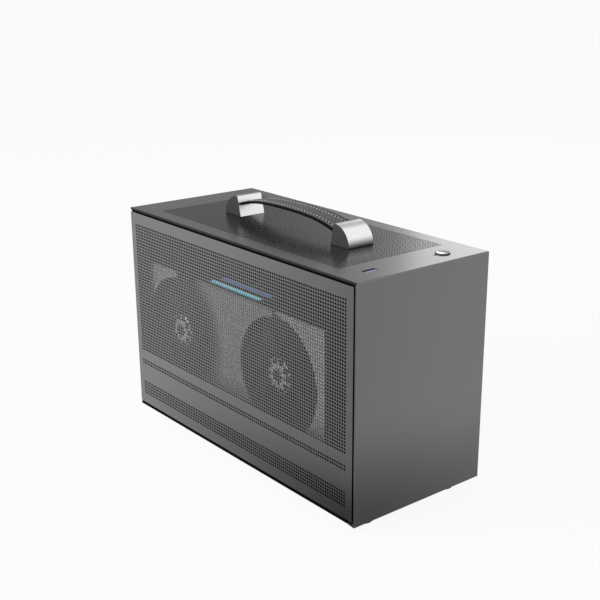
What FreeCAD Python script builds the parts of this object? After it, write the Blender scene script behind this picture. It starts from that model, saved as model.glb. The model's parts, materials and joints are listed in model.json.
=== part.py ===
"""Small desktop computer case with a strap handle, pull-off mesh sides and a graphics card inside.

Millimetres. +X points from the rear to the plain front, +Z is up, and the origin is on the floor
under the middle of the case.
"""

import FreeCAD, Part
import math

V = FreeCAD.Vector

# Body
length = 337.0            # rear edge to front face
width = 147.0             # across the outer faces of the side panels
body_height = 209.0       # lower edge of the front to the top face
foot_drop = 8.0           # floor to the lower edge of the front

# Sheet metal
cover_t = 2.0             # folded top and front
cover_bend_r = 0.5        # inside radius of its folds
return_depth = 9.5        # flange folded back under the base
return_slant = 5.0        # slanted cut at each end of that flange
panel_t = 0.6             # side panels
frame_t = 1.2             # base, rear, rails, tray and brackets

# Gaps and fits
panel_gap_front = 1.9     # side panel to the front's back face
panel_gap_top = 2.1       # side panel to the top's lower face
panel_gap_bottom = 1.1    # side panel to the base
panel_gap_inside = 1.1    # side panel to the frame behind it
fit_gap = 0.3             # clear gap round a part that slides
bolt_gap = 0.1            # round a screw in its hole
shaft_gap = 0.05          # round a running shaft

# Perforation, each row of round holes drawn as a long slot
hole_pitch = 3.0
hole_d = 1.9
side_end_margin = 9.0     # panel's ends to the field, at least
side_first_row = 12.0     # panel's upper edge to the first row
side_low_margin = 10.0    # panel's lower edge to the last row, at least
side_bands = ((0, 44), (47, 2), (55, 5))   # first row and number of rows of each band
top_rear_margin = 34.9    # case ends and sides to the top's field, at least
top_front_margin = 40.9
top_side_margin = 16.4

# Frame
base_lip = 9.0            # upturned sides of the base
base_hem = 1.1            # ledge of the base's sides, below the base
ledge_inset = 0.2         # that ledge behind the side panel's face
rail_drop = 11.0          # upright leg of the top rails
rail_width = 9.0          # flat leg of the top rails
rear_recess = 4.0         # cover's rear edge to the rear panel
rear_return = 10.0        # folded sides of the rear panel
vent_length = 34.0
vent_width = 4.0
vent_pitch = 9.0
vent_count = 8

# Panel studs and their clips
stud_r = 2.0
stud_length = 6.6
stud_inset_x = 26.0       # panel's end to its studs
stud_lip_share = 0.6      # height of the lower studs in the base's upturned side
stud_rail_share = 0.55    # depth of the upper studs in the rail's upright leg
clip_r = 3.4
clip_length = 4.5

# Feet
foot_r = 9.0
foot_sides = 16
foot_inset_x = 18.5       # case end to the foot's centre
foot_inset_y = 25.5

# Handle
block_inner_x = 66.0      # foot of each block's inner face, from the middle
block_lean = 5.2          # how far that face leans outwards to the top
block_r = 19.0            # quarter-round outer side, also the block's height
block_width = 28.6
strap_width = 27.0
strap_t = 3.0
strap_crown = 19.7        # middle of the strap above the top, at the centre
strap_flat_half = 34.0    # half length of the flatter middle arc
strap_flat_r = 500.0
strap_end_r = 150.0       # radius of the arcs that turn down to the blocks
strap_end_x = 79.0        # strap's end inside its block
handle_screw_x = 75.5
handle_screw_y = 8.0
handle_screw_r = 2.0
handle_head_r = 3.6
handle_head_t = 2.2
handle_screw_bite = 7.0   # screw inside its block

# Button, light and socket in the top
controls_inset = 20.0     # front face to the row of controls
button_inset = 35.1       # right side to the button
button_r = 6.3
button_rim = 0.8
button_dish = 0.5
button_rise = 0.9         # cap above the top face
button_skirt = 5.0        # cap's depth below the top face
button_stem_r = 2.0
button_travel = 1.2
switch_size = 6.0
switch_body_h = 3.4
switch_plunger_r = 1.6
light_offset = 8.8        # button to the light
light_r = 1.0
socket_inset = 30.8       # left side to the socket
socket_long = 14.4        # outside of the shell along Y
socket_short = 6.8
socket_wall = 0.5
socket_h = 14.2
tongue_long = 11.4
tongue_t = 2.0
tongue_h = 9.0
opening_gap = 0.2         # sheet to the socket's shell
circuit_t = 1.6
circuit_width = 20.0
circuit_end_gap = 5.0     # circuit board beyond the socket and the button
post_r = 2.5
post_y = 17.0

# Board tray
tray_inset = 57.5         # left side to the face that the board's standoffs stand on
tray_top_gap = 19.8       # cover's lower face to the tray
tray_front_gap = 6.0
tray_foot = 12.0
cpu_window = 100.0
standoff_r = 3.0
standoff_h = 6.5
standoff_thread_r = 1.4
board_edge_z = 12.0       # case floor to the board's lower edge
board_hole_edge = 6.35    # board's lower edge to its lower holes
board_hole_rise = 157.48
board_far_hole = 165.1    # rear panel to the far holes
board_low_span = 154.94
board_high_span = 132.08

# Rear openings
port_window_y = 44.45
port_window_z = 158.75
port_window_low = 4.5     # board's lower edge to the window
board_t = 1.6
port_window_drop = 2.3    # window's edge below the board's upper face
slot_count = 2
slot_width = 14.0
slot_height = 104.0
slot_pitch = 20.32
slot_offset = 8.5         # card's circuit board to the first slot's middle

# Power supply bracket
supply_inset = 116.5      # front's back face to the bracket
supply_hole_y = 51.5
supply_hole_z = 113.0
supply_hole_r = 1.8
supply_window_y = 57.0
supply_window_z = 100.0
supply_edge = 6.0         # holes to the bracket's edge
supply_side_gap = 9.0     # tray to the nearer holes
supply_rise = 92.8        # case floor to the supply's middle
supply_foot = 14.0

# Mains inlet
inlet_inset = 28.5        # left side to the inlet's middle
inlet_drop = 23.0         # cover's lower face to the inlet's middle
inlet_flange_y = 31.0
inlet_flange_z = 24.0
inlet_flange_t = 2.5
inlet_body_y = 27.0
inlet_body_z = 20.0
inlet_body_x = 20.0
inlet_mouth_y = 24.4
inlet_mouth_z = 16.8
inlet_mouth_slant = 4.5
inlet_depth = 17.0
pin_w = 2.0
pin_h = 4.0
pin_length = 14.0
pin_side = 7.0
pin_drop = 1.5
earth_rise = 2.8

# Graphics card
card_face_gap = 13.1      # side panel to the card's face
card_length = 278.3
card_height = 116.0
card_rise = 34.8          # case floor to the card
shroud_t = 2.0
shroud_depth = 26.0
fan_rear_edge = 3.3       # card's ends to the fans' openings
fan_front_edge = 14.9
fan_drop = 1.7            # fans' axes below the card's middle
fan_edge = 4.3            # card's lower edge to the fans' openings
fan_tip_gap = 1.5         # fan wheel to its opening
fan_hub_r = 20.0
fan_depth = 11.0
fan_face_drop = 1.5       # fan wheel behind the shroud's face
fan_blades = 9
blade_t = 1.2
blade_root_chord = 10.0
blade_tip_chord = 18.0
blade_angle = 31.0
shaft_r = 1.5
shaft_depth = 7.0         # shaft inside the hub
mount_r = 12.0
mount_t = 2.5
cap_r = 17.0
cap_flat_r = 9.0
cap_t = 2.0
cap_sides = 10
sink_inset = 8.0
sink_base_t = 4.0
fin_t = 1.2
fin_pitch = 12.0
card_board_t = 1.6
card_board_inset = 6.0
backplate_t = 1.5
card_tray_gap = 4.0       # backplate to the tray
bracket_t = 1.0
bracket_rise = 8.0        # bracket above the card
edge_inset = 50.3         # card's rear end to its edge tab
edge_length = 84.0
port_y = 7.0
port_z = 17.0
port_pitch = 22.0
port_count = 4
port_depth = 12.0
port_hollow = 5.0
port_wall = 1.0
bar_inset = 139.8         # card's rear end to the middle of its light bars
bar_length = 75.0
bar_t = 0.8
bright_bar_back = 4.3     # card's face to the bright bar
bright_bar_width = 6.6
dim_bar_back = 16.2
dim_bar_width = 7.6

# Riser socket under the card
riser_over = 4.0          # socket's ends beyond the edge tab
riser_width = 8.0
riser_h = 11.0
riser_bite = 6.5          # edge tab inside the socket
riser_flange = 9.0

match_limit = 1e-6        # ends closer than this are joined

# Levels and faces that several pieces share
x_front = length / 2
x_rear = -length / 2
x_inside = x_front - cover_t
y_side = width / 2
z_top = foot_drop + body_height
z_under = z_top - cover_t
z_base = foot_drop + cover_t
z_floor = z_base + frame_t
frame_y = y_side - panel_t - panel_gap_inside
frame_end = x_inside - cover_bend_r
panel_x = (x_rear, x_inside - panel_gap_front)
panel_z = (z_floor + panel_gap_bottom, z_under - panel_gap_top)
rear_x = x_rear + rear_recess
rear_inside = rear_x + frame_t
tray_y = tray_inset - y_side
tray_back = tray_y - frame_t
card_face = -(y_side - panel_t - card_face_gap)
card_back = tray_back - card_tray_gap
card_low_z = z_floor + card_rise
card_top_z = card_low_z + card_height
card_x = (rear_inside + bracket_t, rear_inside + bracket_t + card_length)
fan_z = (card_low_z + card_top_z) / 2 - fan_drop
fan_opening_r = fan_z - card_low_z - fan_edge
fan_r = fan_opening_r - fan_tip_gap
fan_rear_x = card_x[0] + fan_rear_edge + fan_opening_r
fan_front_x = card_x[1] - fan_front_edge - fan_opening_r
edge_x = card_x[0] + edge_inset
bar_x = card_x[0] + bar_inset
controls_x = x_front - controls_inset
button_y = y_side - button_inset
light_y = button_y - light_offset
socket_y = socket_inset - y_side
supply_x = x_inside - supply_inset
supply_centre_z = z_floor + supply_rise
inlet_y = inlet_inset - y_side
inlet_z = z_under - inlet_drop
stud_x = (panel_x[0] + stud_inset_x, panel_x[1] - stud_inset_x)
stud_z = (z_base + base_lip * stud_lip_share, z_under - rail_drop * stud_rail_share)


def at_plane(axis, level, u, v):
    """Point on the plane across an axis, u and v along the other two axes in X, Y, Z order."""
    if axis == "x":
        return V(level, u, v)
    if axis == "y":
        return V(u, level, v)
    return V(u, v, level)


def outline(axis, level, corners):
    """Closed wire through corners (u, v, radius), each rounded by a tangent arc of its radius."""
    runs = []
    count = len(corners)
    for i in range(count):
        here = V(corners[i][0], corners[i][1], 0)
        before = V(corners[i - 1][0], corners[i - 1][1], 0) - here
        after = V(corners[(i + 1) % count][0], corners[(i + 1) % count][1], 0) - here
        radius = corners[i][2]
        before.normalize()
        after.normalize()
        half = before.getAngle(after) / 2
        if radius == 0:
            runs.append((here, None, here))
            continue
        reach = radius / math.tan(half)
        bisector = before + after
        bisector.normalize()
        middle = here + bisector * (radius / math.sin(half) - radius)
        runs.append((here + before * reach, middle, here + after * reach))
    edges = []
    for i in range(count):
        start, middle, end = (p and at_plane(axis, level, p.x, p.y) for p in runs[i])
        following = at_plane(axis, level, runs[(i + 1) % count][0].x, runs[(i + 1) % count][0].y)
        if middle:
            edges.append(Part.Arc(start, middle, end).toShape())
        if (following - end).Length > match_limit:
            edges.append(Part.makeLine(end, following))
    return Part.Wire(edges)


def rectangle(axis, level, u, v, radius=0):
    corners = ((u[0], v[0], radius), (u[1], v[0], radius), (u[1], v[1], radius), (u[0], v[1], radius))
    return outline(axis, level, corners)


def ring(axis, level, u, v, radius):
    normal = at_plane(axis, 1, 0, 0)
    return Part.Wire(Part.makeCircle(radius, at_plane(axis, level, u, v), normal))


def slab(axis, level, thickness, outer, holes=()):
    """Sheet between a plane and a parallel one, with its holes, from wires on the first plane."""
    face = Part.makeFace([outer] + list(holes), "Part::FaceMakerBullseye")
    return face.extrude(at_plane(axis, thickness, 0, 0))


def block(x, y, z):
    return Part.makeBox(x[1] - x[0], y[1] - y[0], z[1] - z[0], V(x[0], y[0], z[0]))


def rod(axis, start, end, u, v, radius):
    direction = at_plane(axis, 1 if end > start else -1, 0, 0)
    return Part.makeCylinder(radius, abs(end - start), at_plane(axis, start, u, v), direction)


def about(centre, half):
    return (centre - half, centre + half)


def mirror_y(shape):
    return shape.mirror(V(0, 0, 0), V(0, 1, 0))


def mirror_x(shape):
    return shape.mirror(V(0, 0, 0), V(1, 0, 0))


def export(name, shape):
    shape = shape.removeSplitter() if len(shape.Solids) == 1 else shape
    if len(shape.Solids) == 1:
        shape = shape.Solids[0]
    shape.exportStep("parts/" + name + ".step")


def group(solids):
    return Part.makeCompound(solids)


def prism(axis, start, end, u, v, radius, sides=6):
    """Straight bar with a regular polygon section, radius to its corners."""
    corners = []
    for i in range(sides):
        angle = 2 * math.pi * i / sides
        corners.append((u + radius * math.cos(angle), v + radius * math.sin(angle), 0))
    return slab(axis, start, end - start, outline(axis, start, corners))


def hole_count(room):
    return int(room / hole_pitch) + 1


def slot_row(axis, level, spans, v):
    """Wires of the slots that stand for one row of holes, one for each span."""
    return [rectangle(axis, level, span, about(v, hole_d / 2)) for span in spans]


# Folded cover: top, front and the flange under the base
def cover():
    outer_r = cover_bend_r + cover_t
    flange_x = x_front - return_depth
    profile = outline("y", -y_side, (
        (x_rear, z_top, 0), (x_front, z_top, outer_r), (x_front, foot_drop, outer_r),
        (flange_x, foot_drop, 0), (flange_x, z_base, 0), (x_inside, z_base, cover_bend_r),
        (x_inside, z_under, cover_bend_r), (x_rear, z_under, 0)))
    sheet = slab("y", -y_side, width, profile)
    cuts = []
    for side in (-1, 1):
        corner = outline("z", foot_drop, (
            (flange_x, side * y_side, 0), (flange_x, side * (y_side - return_slant), 0),
            (x_inside - cover_bend_r, side * y_side, 0)))
        cuts.append(slab("z", foot_drop, cover_t, corner))
    columns = hole_count(length - top_rear_margin - top_front_margin)
    rows = hole_count(width - 2 * top_side_margin)
    half_field = ((columns - 1) * hole_pitch + hole_d) / 2
    start, end = about((top_rear_margin - top_front_margin) / 2, half_field)
    block_outer = block_inner_x + block_lean + block_r
    wires = []
    for row in range(rows):
        y = (row - (rows - 1) / 2) * hole_pitch
        spans = ((start, end),)
        if abs(y) < block_width / 2 + hole_d / 2:
            spans = ((start, -block_outer), (-block_inner_x, block_inner_x), (block_outer, end))
        wires += slot_row("z", z_under, spans, y)
    wires.append(ring("z", z_under, controls_x, button_y, button_r + fit_gap))
    wires.append(rectangle("z", z_under, about(controls_x, socket_short / 2 + opening_gap),
                           about(socket_y, socket_long / 2 + opening_gap)))
    cuts += [slab("z", z_under, cover_t, wire) for wire in wires]
    cuts.append(prism("z", z_under, z_top, controls_x, light_y, light_r + bolt_gap))
    for x, y in handle_screw_places:
        cuts.append(prism("z", z_under, z_top, x, y, handle_screw_r + bolt_gap))
    return sheet.cut(group(cuts))


# Perforated side panel and the studs and clips that hold it
def left_panel():
    columns = hole_count(panel_x[1] - panel_x[0] - 2 * side_end_margin)
    half_field = ((columns - 1) * hole_pitch + hole_d) / 2
    start, end = about(sum(panel_x) / 2, half_field)
    wires = []
    for first, count in side_bands:
        for row in range(first, first + count):
            z = panel_z[1] - side_first_row - row * hole_pitch
            if z > panel_z[0] + side_low_margin:
                wires += slot_row("y", -y_side, ((start, end),), z)
    return slab("y", -y_side, panel_t, rectangle("y", -y_side, panel_x, panel_z), wires)


def left_studs():
    inner = -y_side + panel_t
    return group([prism("y", inner, inner + stud_length, x, z, stud_r) for x in stud_x for z in stud_z])


def left_clips():
    start = -frame_y + frame_t
    end = start + clip_length
    clips = []
    for x in stud_x:
        for z in stud_z:
            clips.append(prism("y", start, end, x, z, clip_r).cut(prism("y", start, end, x, z, stud_hole_r)))
    return group(clips)


# Base with upturned sides, vents and holes for the feet
def base():
    profile = outline("x", x_rear, (
        (-frame_y, z_base, 0), (frame_y, z_base, 0), (frame_y, z_base + base_lip, 0),
        (frame_y - frame_t, z_base + base_lip, 0), (frame_y - frame_t, z_floor, 0),
        (-frame_y + frame_t, z_floor, 0), (-frame_y + frame_t, z_base + base_lip, 0),
        (-frame_y, z_base + base_lip, 0)))
    sheet = slab("x", x_rear, frame_end - x_rear, profile)
    ledge = block((x_rear, x_front - return_depth), (frame_y - frame_t, y_side - ledge_inset),
                  (z_base - base_hem, z_floor))
    sheet = sheet.fuse([ledge, mirror_y(ledge)]).removeSplitter()
    cuts = []
    for row in (-1, 1):
        for i in range(vent_count):
            x = (i - (vent_count - 1) / 2) * vent_pitch
            y = about(row * vent_row_y, vent_length / 2)
            cuts.append(slab("z", z_base, frame_t, rectangle("z", z_base, about(x, vent_width / 2), y)))
    cuts += stud_holes(stud_z[0])
    return sheet.cut(group(cuts))


def stud_holes(z):
    """Holes in the upright frame sheets where the panel studs pass."""
    holes = []
    for x in stud_x:
        holes.append(prism("y", -frame_y, -frame_y + frame_t, x, z, stud_hole_r))
        holes.append(prism("y", frame_y - frame_t, frame_y, x, z, stud_hole_r))
    return holes


def left_rail():
    profile = outline("x", rear_inside, (
        (-frame_y, z_under, 0), (-frame_y, z_under - rail_drop, 0),
        (-frame_y + frame_t, z_under - rail_drop, 0), (-frame_y + frame_t, z_under - frame_t, 0),
        (-frame_y + rail_width, z_under - frame_t, 0),
        (-frame_y + rail_width, z_under, 0)))
    rail = slab("x", rear_inside, frame_end - rear_inside, profile)
    leg = block((x_rear, rear_inside), (-frame_y, -frame_y + frame_t), (z_under - rail_drop, z_under))
    return rail.fuse(leg).removeSplitter().cut(group(stud_holes(stud_z[1])))


# Rear panel with the board's window, the card's slots, the inlet and vents
def rear_panel():
    inner_y = frame_y - frame_t
    outer = rectangle("x", rear_x, (-inner_y, inner_y), (z_floor, z_under))
    holes = [rectangle("x", rear_x, port_window[0], port_window[1])]
    for i in range(slot_count):
        slot_y = about(slot_middle - i * slot_pitch, slot_width / 2)
        holes.append(rectangle("x", rear_x, slot_y, about(card_slot_z, slot_height / 2)))
    holes.append(rectangle("x", rear_x, about(inlet_y, inlet_body_y / 2 + bolt_gap),
                           about(inlet_z, inlet_body_z / 2 + bolt_gap)))
    for i in range(vent_count):
        z = card_slot_z + (i - (vent_count - 1) / 2) * vent_pitch
        vent_y = about((port_window[0][1] + inner_y) / 2, rear_vent_half)
        holes.append(rectangle("x", rear_x, vent_y, about(z, vent_width / 2)))
    panel = slab("x", rear_x, frame_t, outer, holes)
    side = block((rear_inside, rear_inside + rear_return), (inner_y - frame_t, inner_y),
                 (z_floor, z_under - rail_drop))
    return panel.fuse([side, mirror_y(side)])


# Board tray and its standoffs
def tray():
    end = x_inside - tray_front_gap
    window_x = about(board_window_x, cpu_window / 2)
    window_z = about(board_window_z, cpu_window / 2)
    window = rectangle("y", tray_back, window_x, window_z)
    outer = rectangle("y", tray_back, (rear_inside, end), (z_floor, z_under - tray_top_gap))
    foot = block((rear_inside + rear_return, end), (tray_y, tray_y + tray_foot), (z_floor, z_floor + frame_t))
    return slab("y", tray_back, frame_t, outer, [window]).fuse(foot)


def standoffs():
    end = tray_y + standoff_h
    pillars = []
    for x, z in board_holes:
        thread = rod("y", tray_y, end, x, z, standoff_thread_r)
        pillars.append(prism("y", tray_y, end, x, z, standoff_r).cut(thread))
    return group(pillars)


# Power supply bracket on the tray
def supply_bracket():
    y = (tray_y, supply_centre_y + supply_hole_y / 2 + supply_edge)
    z = about(supply_centre_z, supply_hole_z / 2 + supply_edge)
    holes = [rectangle("x", supply_x, about(supply_centre_y, supply_window_y / 2),
                       about(supply_centre_z, supply_window_z / 2))]
    for side in (-1, 1):
        for rise in (-1, 1):
            holes.append(ring("x", supply_x, supply_centre_y + side * supply_hole_y / 2,
                              supply_centre_z + rise * supply_hole_z / 2, supply_hole_r))
    face = slab("x", supply_x, frame_t, rectangle("x", supply_x, y, z), holes)
    return face.fuse(block((supply_x - supply_foot, supply_x), (tray_y, tray_y + frame_t), z))


# Rubber feet
def foot(x, y):
    return prism("z", 0, z_base, x, y, foot_r, foot_sides)


# Handle: two quarter-round blocks and an arched strap
def strap_band(half_t, half_w, end_x):
    """Strap's section: three tangent arcs in the XZ plane with straight ends inside the blocks."""
    crown = z_top + strap_crown
    slope = math.asin(strap_flat_half / strap_flat_r)
    flat_centre = V(0, -half_w, crown - strap_flat_r)
    joint = flat_centre + V(math.sin(slope), 0, math.cos(slope)) * strap_flat_r
    end_centre = joint - V(math.sin(slope), 0, math.cos(slope)) * strap_end_r
    turn = math.asin((strap_turn_x - end_centre.x) / strap_end_r)

    def on_arc(centre, radius, angle):
        return centre + V(math.sin(angle), 0, math.cos(angle)) * radius

    def side(offset):
        middle = on_arc(end_centre, strap_end_r + offset, (slope + turn) / 2)
        last = on_arc(end_centre, strap_end_r + offset, turn)
        tip = last + V(math.cos(turn), 0, -math.sin(turn)) * ((end_x - last.x) / math.cos(turn))
        return on_arc(flat_centre, strap_flat_r + offset, slope), middle, last, tip

    edges = []
    tips = []
    for offset in (half_t, -half_t):
        start, middle, last, tip = side(offset)
        for sign in (-1, 1):
            points = [V(sign * p.x, p.y, p.z) for p in (start, middle, last, tip)]
            edges.append(Part.Arc(points[0], points[1], points[2]).toShape())
            edges.append(Part.makeLine(points[2], points[3]))
        top = flat_centre + V(0, 0, strap_flat_r + offset)
        edges.append(Part.Arc(V(-start.x, start.y, start.z), top, start).toShape())
        tips.append(tip)
    for sign in (-1, 1):
        ends = [V(sign * tip.x, tip.y, tip.z) for tip in tips]
        edges.append(Part.makeLine(ends[0], ends[1]))
    wire = Part.Wire(Part.sortEdges(edges)[0])
    return Part.Face(wire).extrude(V(0, 2 * half_w, 0))


def handle_strap():
    return strap_band(strap_t / 2, strap_width / 2, strap_end_x)


def front_block():
    crest_x = block_inner_x + block_lean
    curve_middle = V(crest_x + block_r * math.sqrt(0.5), 0, z_top + block_r * math.sqrt(0.5))
    foot_inner = V(block_inner_x, 0, z_top)
    crest = V(crest_x, 0, z_top + block_r)
    foot_outer = V(crest_x + block_r, 0, z_top)
    edges = [Part.makeLine(foot_inner, crest), Part.Arc(crest, curve_middle, foot_outer).toShape(),
             Part.makeLine(foot_outer, foot_inner)]
    body = Part.Face(Part.Wire(edges)).extrude(V(0, block_width, 0))
    body.translate(V(0, -block_width / 2, 0))
    body = body.cut(strap_band(strap_t / 2 + bolt_gap, strap_width / 2 + bolt_gap, strap_end_x + fit_gap))
    top = z_top + handle_screw_bite + fit_gap
    holes = [prism("z", z_top, top, x, y, handle_screw_r + bolt_gap) for x, y in handle_screw_places]
    return body.cut(group(holes))


def handle_screws():
    screws = []
    for x, y in handle_screw_places:
        head = prism("z", z_under - handle_head_t, z_under, x, y, handle_head_r)
        screws.append(head.fuse(prism("z", z_under, z_top + handle_screw_bite, x, y, handle_screw_r)))
    return group(screws)


# Power button, its switch and light
def power_button():
    """Cap with a shallow recess, and the stem that pushes the switch."""
    rise = z_top + button_rise
    skirt = z_top - button_skirt
    cap = rod("z", skirt, rise, controls_x, button_y, button_r)
    cap = cap.cut(rod("z", rise - button_dish, rise, controls_x, button_y, button_r - button_rim))
    return cap.fuse(prism("z", switch_top, skirt, controls_x, button_y, button_stem_r))


def button_switch():
    half = switch_size / 2
    body = block(about(controls_x, half), about(button_y, half), (circuit_top, circuit_top + switch_body_h))
    plunger = prism("z", circuit_top + switch_body_h, switch_rim, controls_x, button_y, switch_plunger_r)
    return body.fuse(plunger)


def power_light():
    return prism("z", circuit_top, z_top, controls_x, light_y, light_r)


# Socket in the top and the circuit board under it
def usb_shell():
    bottom = circuit_top
    x = about(controls_x, socket_short / 2)
    y = about(socket_y, socket_long / 2)
    outer = rectangle("z", bottom, x, y)
    inner = rectangle("z", bottom, about(controls_x, socket_short / 2 - socket_wall),
                      about(socket_y, socket_long / 2 - socket_wall))
    return slab("z", bottom, socket_h, outer, [inner])


def usb_tongue():
    y = about(socket_y, tongue_long / 2)
    x = controls_x + socket_short / 2 - socket_wall - bolt_gap
    base_x = about(controls_x, socket_short / 2 - socket_wall - bolt_gap)
    base_y = about(socket_y, socket_long / 2 - socket_wall - bolt_gap)
    base_top = circuit_top + socket_h - tongue_h - tongue_t
    tongue = block((x - tongue_t, x), y, (base_top, base_top + tongue_h))
    return block(base_x, base_y, (circuit_top, base_top)).fuse(tongue)


def circuit():
    y = (socket_y - socket_long / 2 - circuit_end_gap, button_y + switch_size / 2 + circuit_end_gap)
    return block(about(controls_x, circuit_width / 2), y, (circuit_top - circuit_t, circuit_top))


def board_posts():
    return group([prism("z", circuit_top, z_under, controls_x, side * post_y, post_r) for side in (-1, 1)])


# Mains inlet
def mains_inlet():
    flange = rectangle("x", rear_x, about(inlet_y, inlet_flange_y / 2), about(inlet_z, inlet_flange_z / 2))
    shell = slab("x", rear_x, -inlet_flange_t, flange)
    shell = shell.fuse(block((rear_x, rear_x + inlet_body_x), about(inlet_y, inlet_body_y / 2),
                             about(inlet_z, inlet_body_z / 2)))
    y = about(inlet_y, inlet_mouth_y / 2)
    z = about(inlet_z, inlet_mouth_z / 2)
    mouth_x = rear_x - inlet_flange_t
    mouth = outline("x", mouth_x, (
        (y[0], z[0], 0), (y[1], z[0], 0), (y[1], z[1] - inlet_mouth_slant, 0),
        (y[1] - inlet_mouth_slant, z[1], 0), (y[0] + inlet_mouth_slant, z[1], 0),
        (y[0], z[1] - inlet_mouth_slant, 0)))
    return shell.cut(slab("x", mouth_x, inlet_depth, mouth))


def inlet_pins():
    base = rear_x - inlet_flange_t + inlet_depth
    places = ((-pin_side, -pin_drop), (0, earth_rise), (pin_side, -pin_drop))
    pins = []
    for side, rise in places:
        pins.append(block((base - pin_length, base), about(inlet_y + side, pin_w / 2),
                          about(inlet_z + rise, pin_h / 2)))
    return group(pins)


# Graphics card: shroud, fans and the parts behind them
def card_shroud():
    face = card_face
    outer = rectangle("y", face, card_x, (card_low_z, card_top_z))
    holes = [ring("y", face, x, fan_z, fan_opening_r) for x in (fan_rear_x, fan_front_x)]
    plate = slab("y", face, shroud_t, outer, holes)
    inner_x = (card_x[0], card_x[1] - shroud_t)
    inner_z = (card_low_z + shroud_t, card_top_z - shroud_t)
    skirt_start = face + shroud_t
    skirt = block(card_x, (skirt_start, face + shroud_depth), (card_low_z, card_top_z))
    skirt = skirt.cut(block(inner_x, (skirt_start, face + shroud_depth), inner_z))
    return plate.fuse(skirt)


def blade(turn):
    """Flat tapered blade, leaning across the wheel, from inside the hub out to the wheel's rim."""
    tip = math.sqrt(fan_r ** 2 - (blade_tip_chord / 2) ** 2)
    corners = ((fan_hub_r - blade_t, blade_root_chord / 2), (tip, blade_tip_chord / 2),
               (tip, -blade_tip_chord / 2), (fan_hub_r - blade_t, -blade_root_chord / 2))
    sheet = slab("y", -blade_t / 2, blade_t, outline("y", -blade_t / 2, [(u, v, 0) for u, v in corners]))
    sheet.rotate(V(0, 0, 0), V(1, 0, 0), blade_angle)
    sheet.rotate(V(0, 0, 0), V(0, 1, 0), turn)
    return sheet


def fan(x):
    """Fan wheel: a hub with two flats for each blade, a bore, and leaning blades."""
    start = fan_start
    hub = prism("y", start, start + fan_depth, 0, 0, fan_hub_r, 2 * fan_blades)
    hub.rotate(V(0, 0, 0), V(0, 1, 0), 180 / fan_blades / 2)
    blades = [blade(i * 360 / fan_blades) for i in range(fan_blades)]
    for vane in blades:
        vane.translate(V(0, start + fan_depth / 2, 0))
    bore = rod("y", start + fan_depth - shaft_depth, start + fan_depth, 0, 0, shaft_r + shaft_gap)
    wheel = hub.fuse(blades).cut(bore)
    wheel.translate(V(x, 0, fan_z))
    return wheel


def fan_cap(x):
    """Faceted hub cap: a polygon, a smaller one in front of it, and flat facets between."""
    rims = []
    for level, radius in ((fan_start, cap_r), (fan_start - cap_t, cap_flat_r)):
        angles = [2 * math.pi * i / cap_sides for i in range(cap_sides)]
        rims.append([V(x + radius * math.cos(a), level, fan_z + radius * math.sin(a)) for a in angles])
    faces = [Part.Face(Part.makePolygon(rim + rim[:1])) for rim in rims]
    for i in range(cap_sides):
        corners = [rims[0][i - 1], rims[0][i], rims[1][i], rims[1][i - 1], rims[0][i - 1]]
        faces.append(Part.Face(Part.makePolygon(corners)))
    return Part.makeSolid(Part.makeShell(faces))


def fan_mount(x):
    base = prism("y", sink_face - mount_t, sink_face, x, fan_z, mount_r)
    start = fan_start + fan_depth - shaft_depth + fit_gap
    return base.fuse(rod("y", start, sink_face - mount_t, x, fan_z, shaft_r))


def card_heatsink():
    base_y = (card_board_face - sink_base_t, card_board_face)
    x = (rear_inside + port_depth + port_wall, card_x[1] - sink_inset)
    z = (card_low_z + sink_inset, card_top_z - sink_inset)
    sink = block(x, base_y, z)
    count = int((x[1] - x[0] - fin_t) / fin_pitch) + 1
    step = (x[1] - x[0] - fin_t) / (count - 1)
    starts = [x[0] + i * step for i in range(count)]
    fins = [block((start, start + fin_t), (sink_face, base_y[0]), z) for start in starts]
    return sink.fuse(fins)


def card_board():
    y = (card_board_face, card_board_face + card_board_t)
    x = (card_x[0], card_x[1] - card_board_inset)
    sheet = block(x, y, (card_low_z + card_board_inset, card_top_z - card_board_inset))
    edge = block((edge_x, edge_x + edge_length), y, (edge_low_z, card_low_z + card_board_inset))
    return sheet.fuse(edge)


def card_backplate():
    y = (card_board_face + card_board_t, card_board_face + card_board_t + backplate_t)
    return block(card_x, y, (card_low_z, card_top_z))


def card_bracket():
    y = (card_face, card_back)
    z = (card_low_z, card_top_z + bracket_rise)
    holes = []
    for i in range(port_count):
        port_mid = card_slot_z + (i - (port_count - 1) / 2) * port_pitch
        holes.append(rectangle("x", rear_inside, about(slot_middle, port_y / 2 + bolt_gap),
                               about(port_mid, port_z / 2 + bolt_gap)))
        vent_y = about(slot_middle - slot_pitch, slot_width / 2 - port_wall)
        holes.append(rectangle("x", rear_inside, vent_y, about(port_mid, port_z / 2)))
    return slab("x", rear_inside, bracket_t, rectangle("x", rear_inside, y, z), holes)


def card_ports():
    ports = []
    for i in range(port_count):
        z = card_slot_z + (i - (port_count - 1) / 2) * port_pitch
        shell = block((rear_inside, rear_inside + port_depth), about(slot_middle, port_y / 2),
                      about(z, port_z / 2))
        hollow = block((rear_inside, rear_inside + port_hollow), about(slot_middle, port_y / 2 - port_wall),
                       about(z, port_z / 2 - port_wall))
        ports.append(shell.cut(hollow))
    return group(ports)


def light_bar(back, bar_width):
    y = card_face + back
    return block(about(bar_x, bar_length / 2), (y, y + bar_width), (card_top_z, card_top_z + bar_t))


# Riser socket that takes the card's edge, on a folded support
def riser_socket():
    x = (edge_x - riser_over, edge_x + edge_length + riser_over)
    top = edge_low_z + riser_bite
    middle = card_board_face + card_board_t / 2
    body = block(x, about(middle, riser_width / 2), (top - riser_h, top))
    groove = block((edge_x - bolt_gap, edge_x + edge_length + bolt_gap),
                   about(middle, card_board_t / 2 + bolt_gap), (edge_low_z - bolt_gap, top))
    return body.cut(groove)


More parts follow.
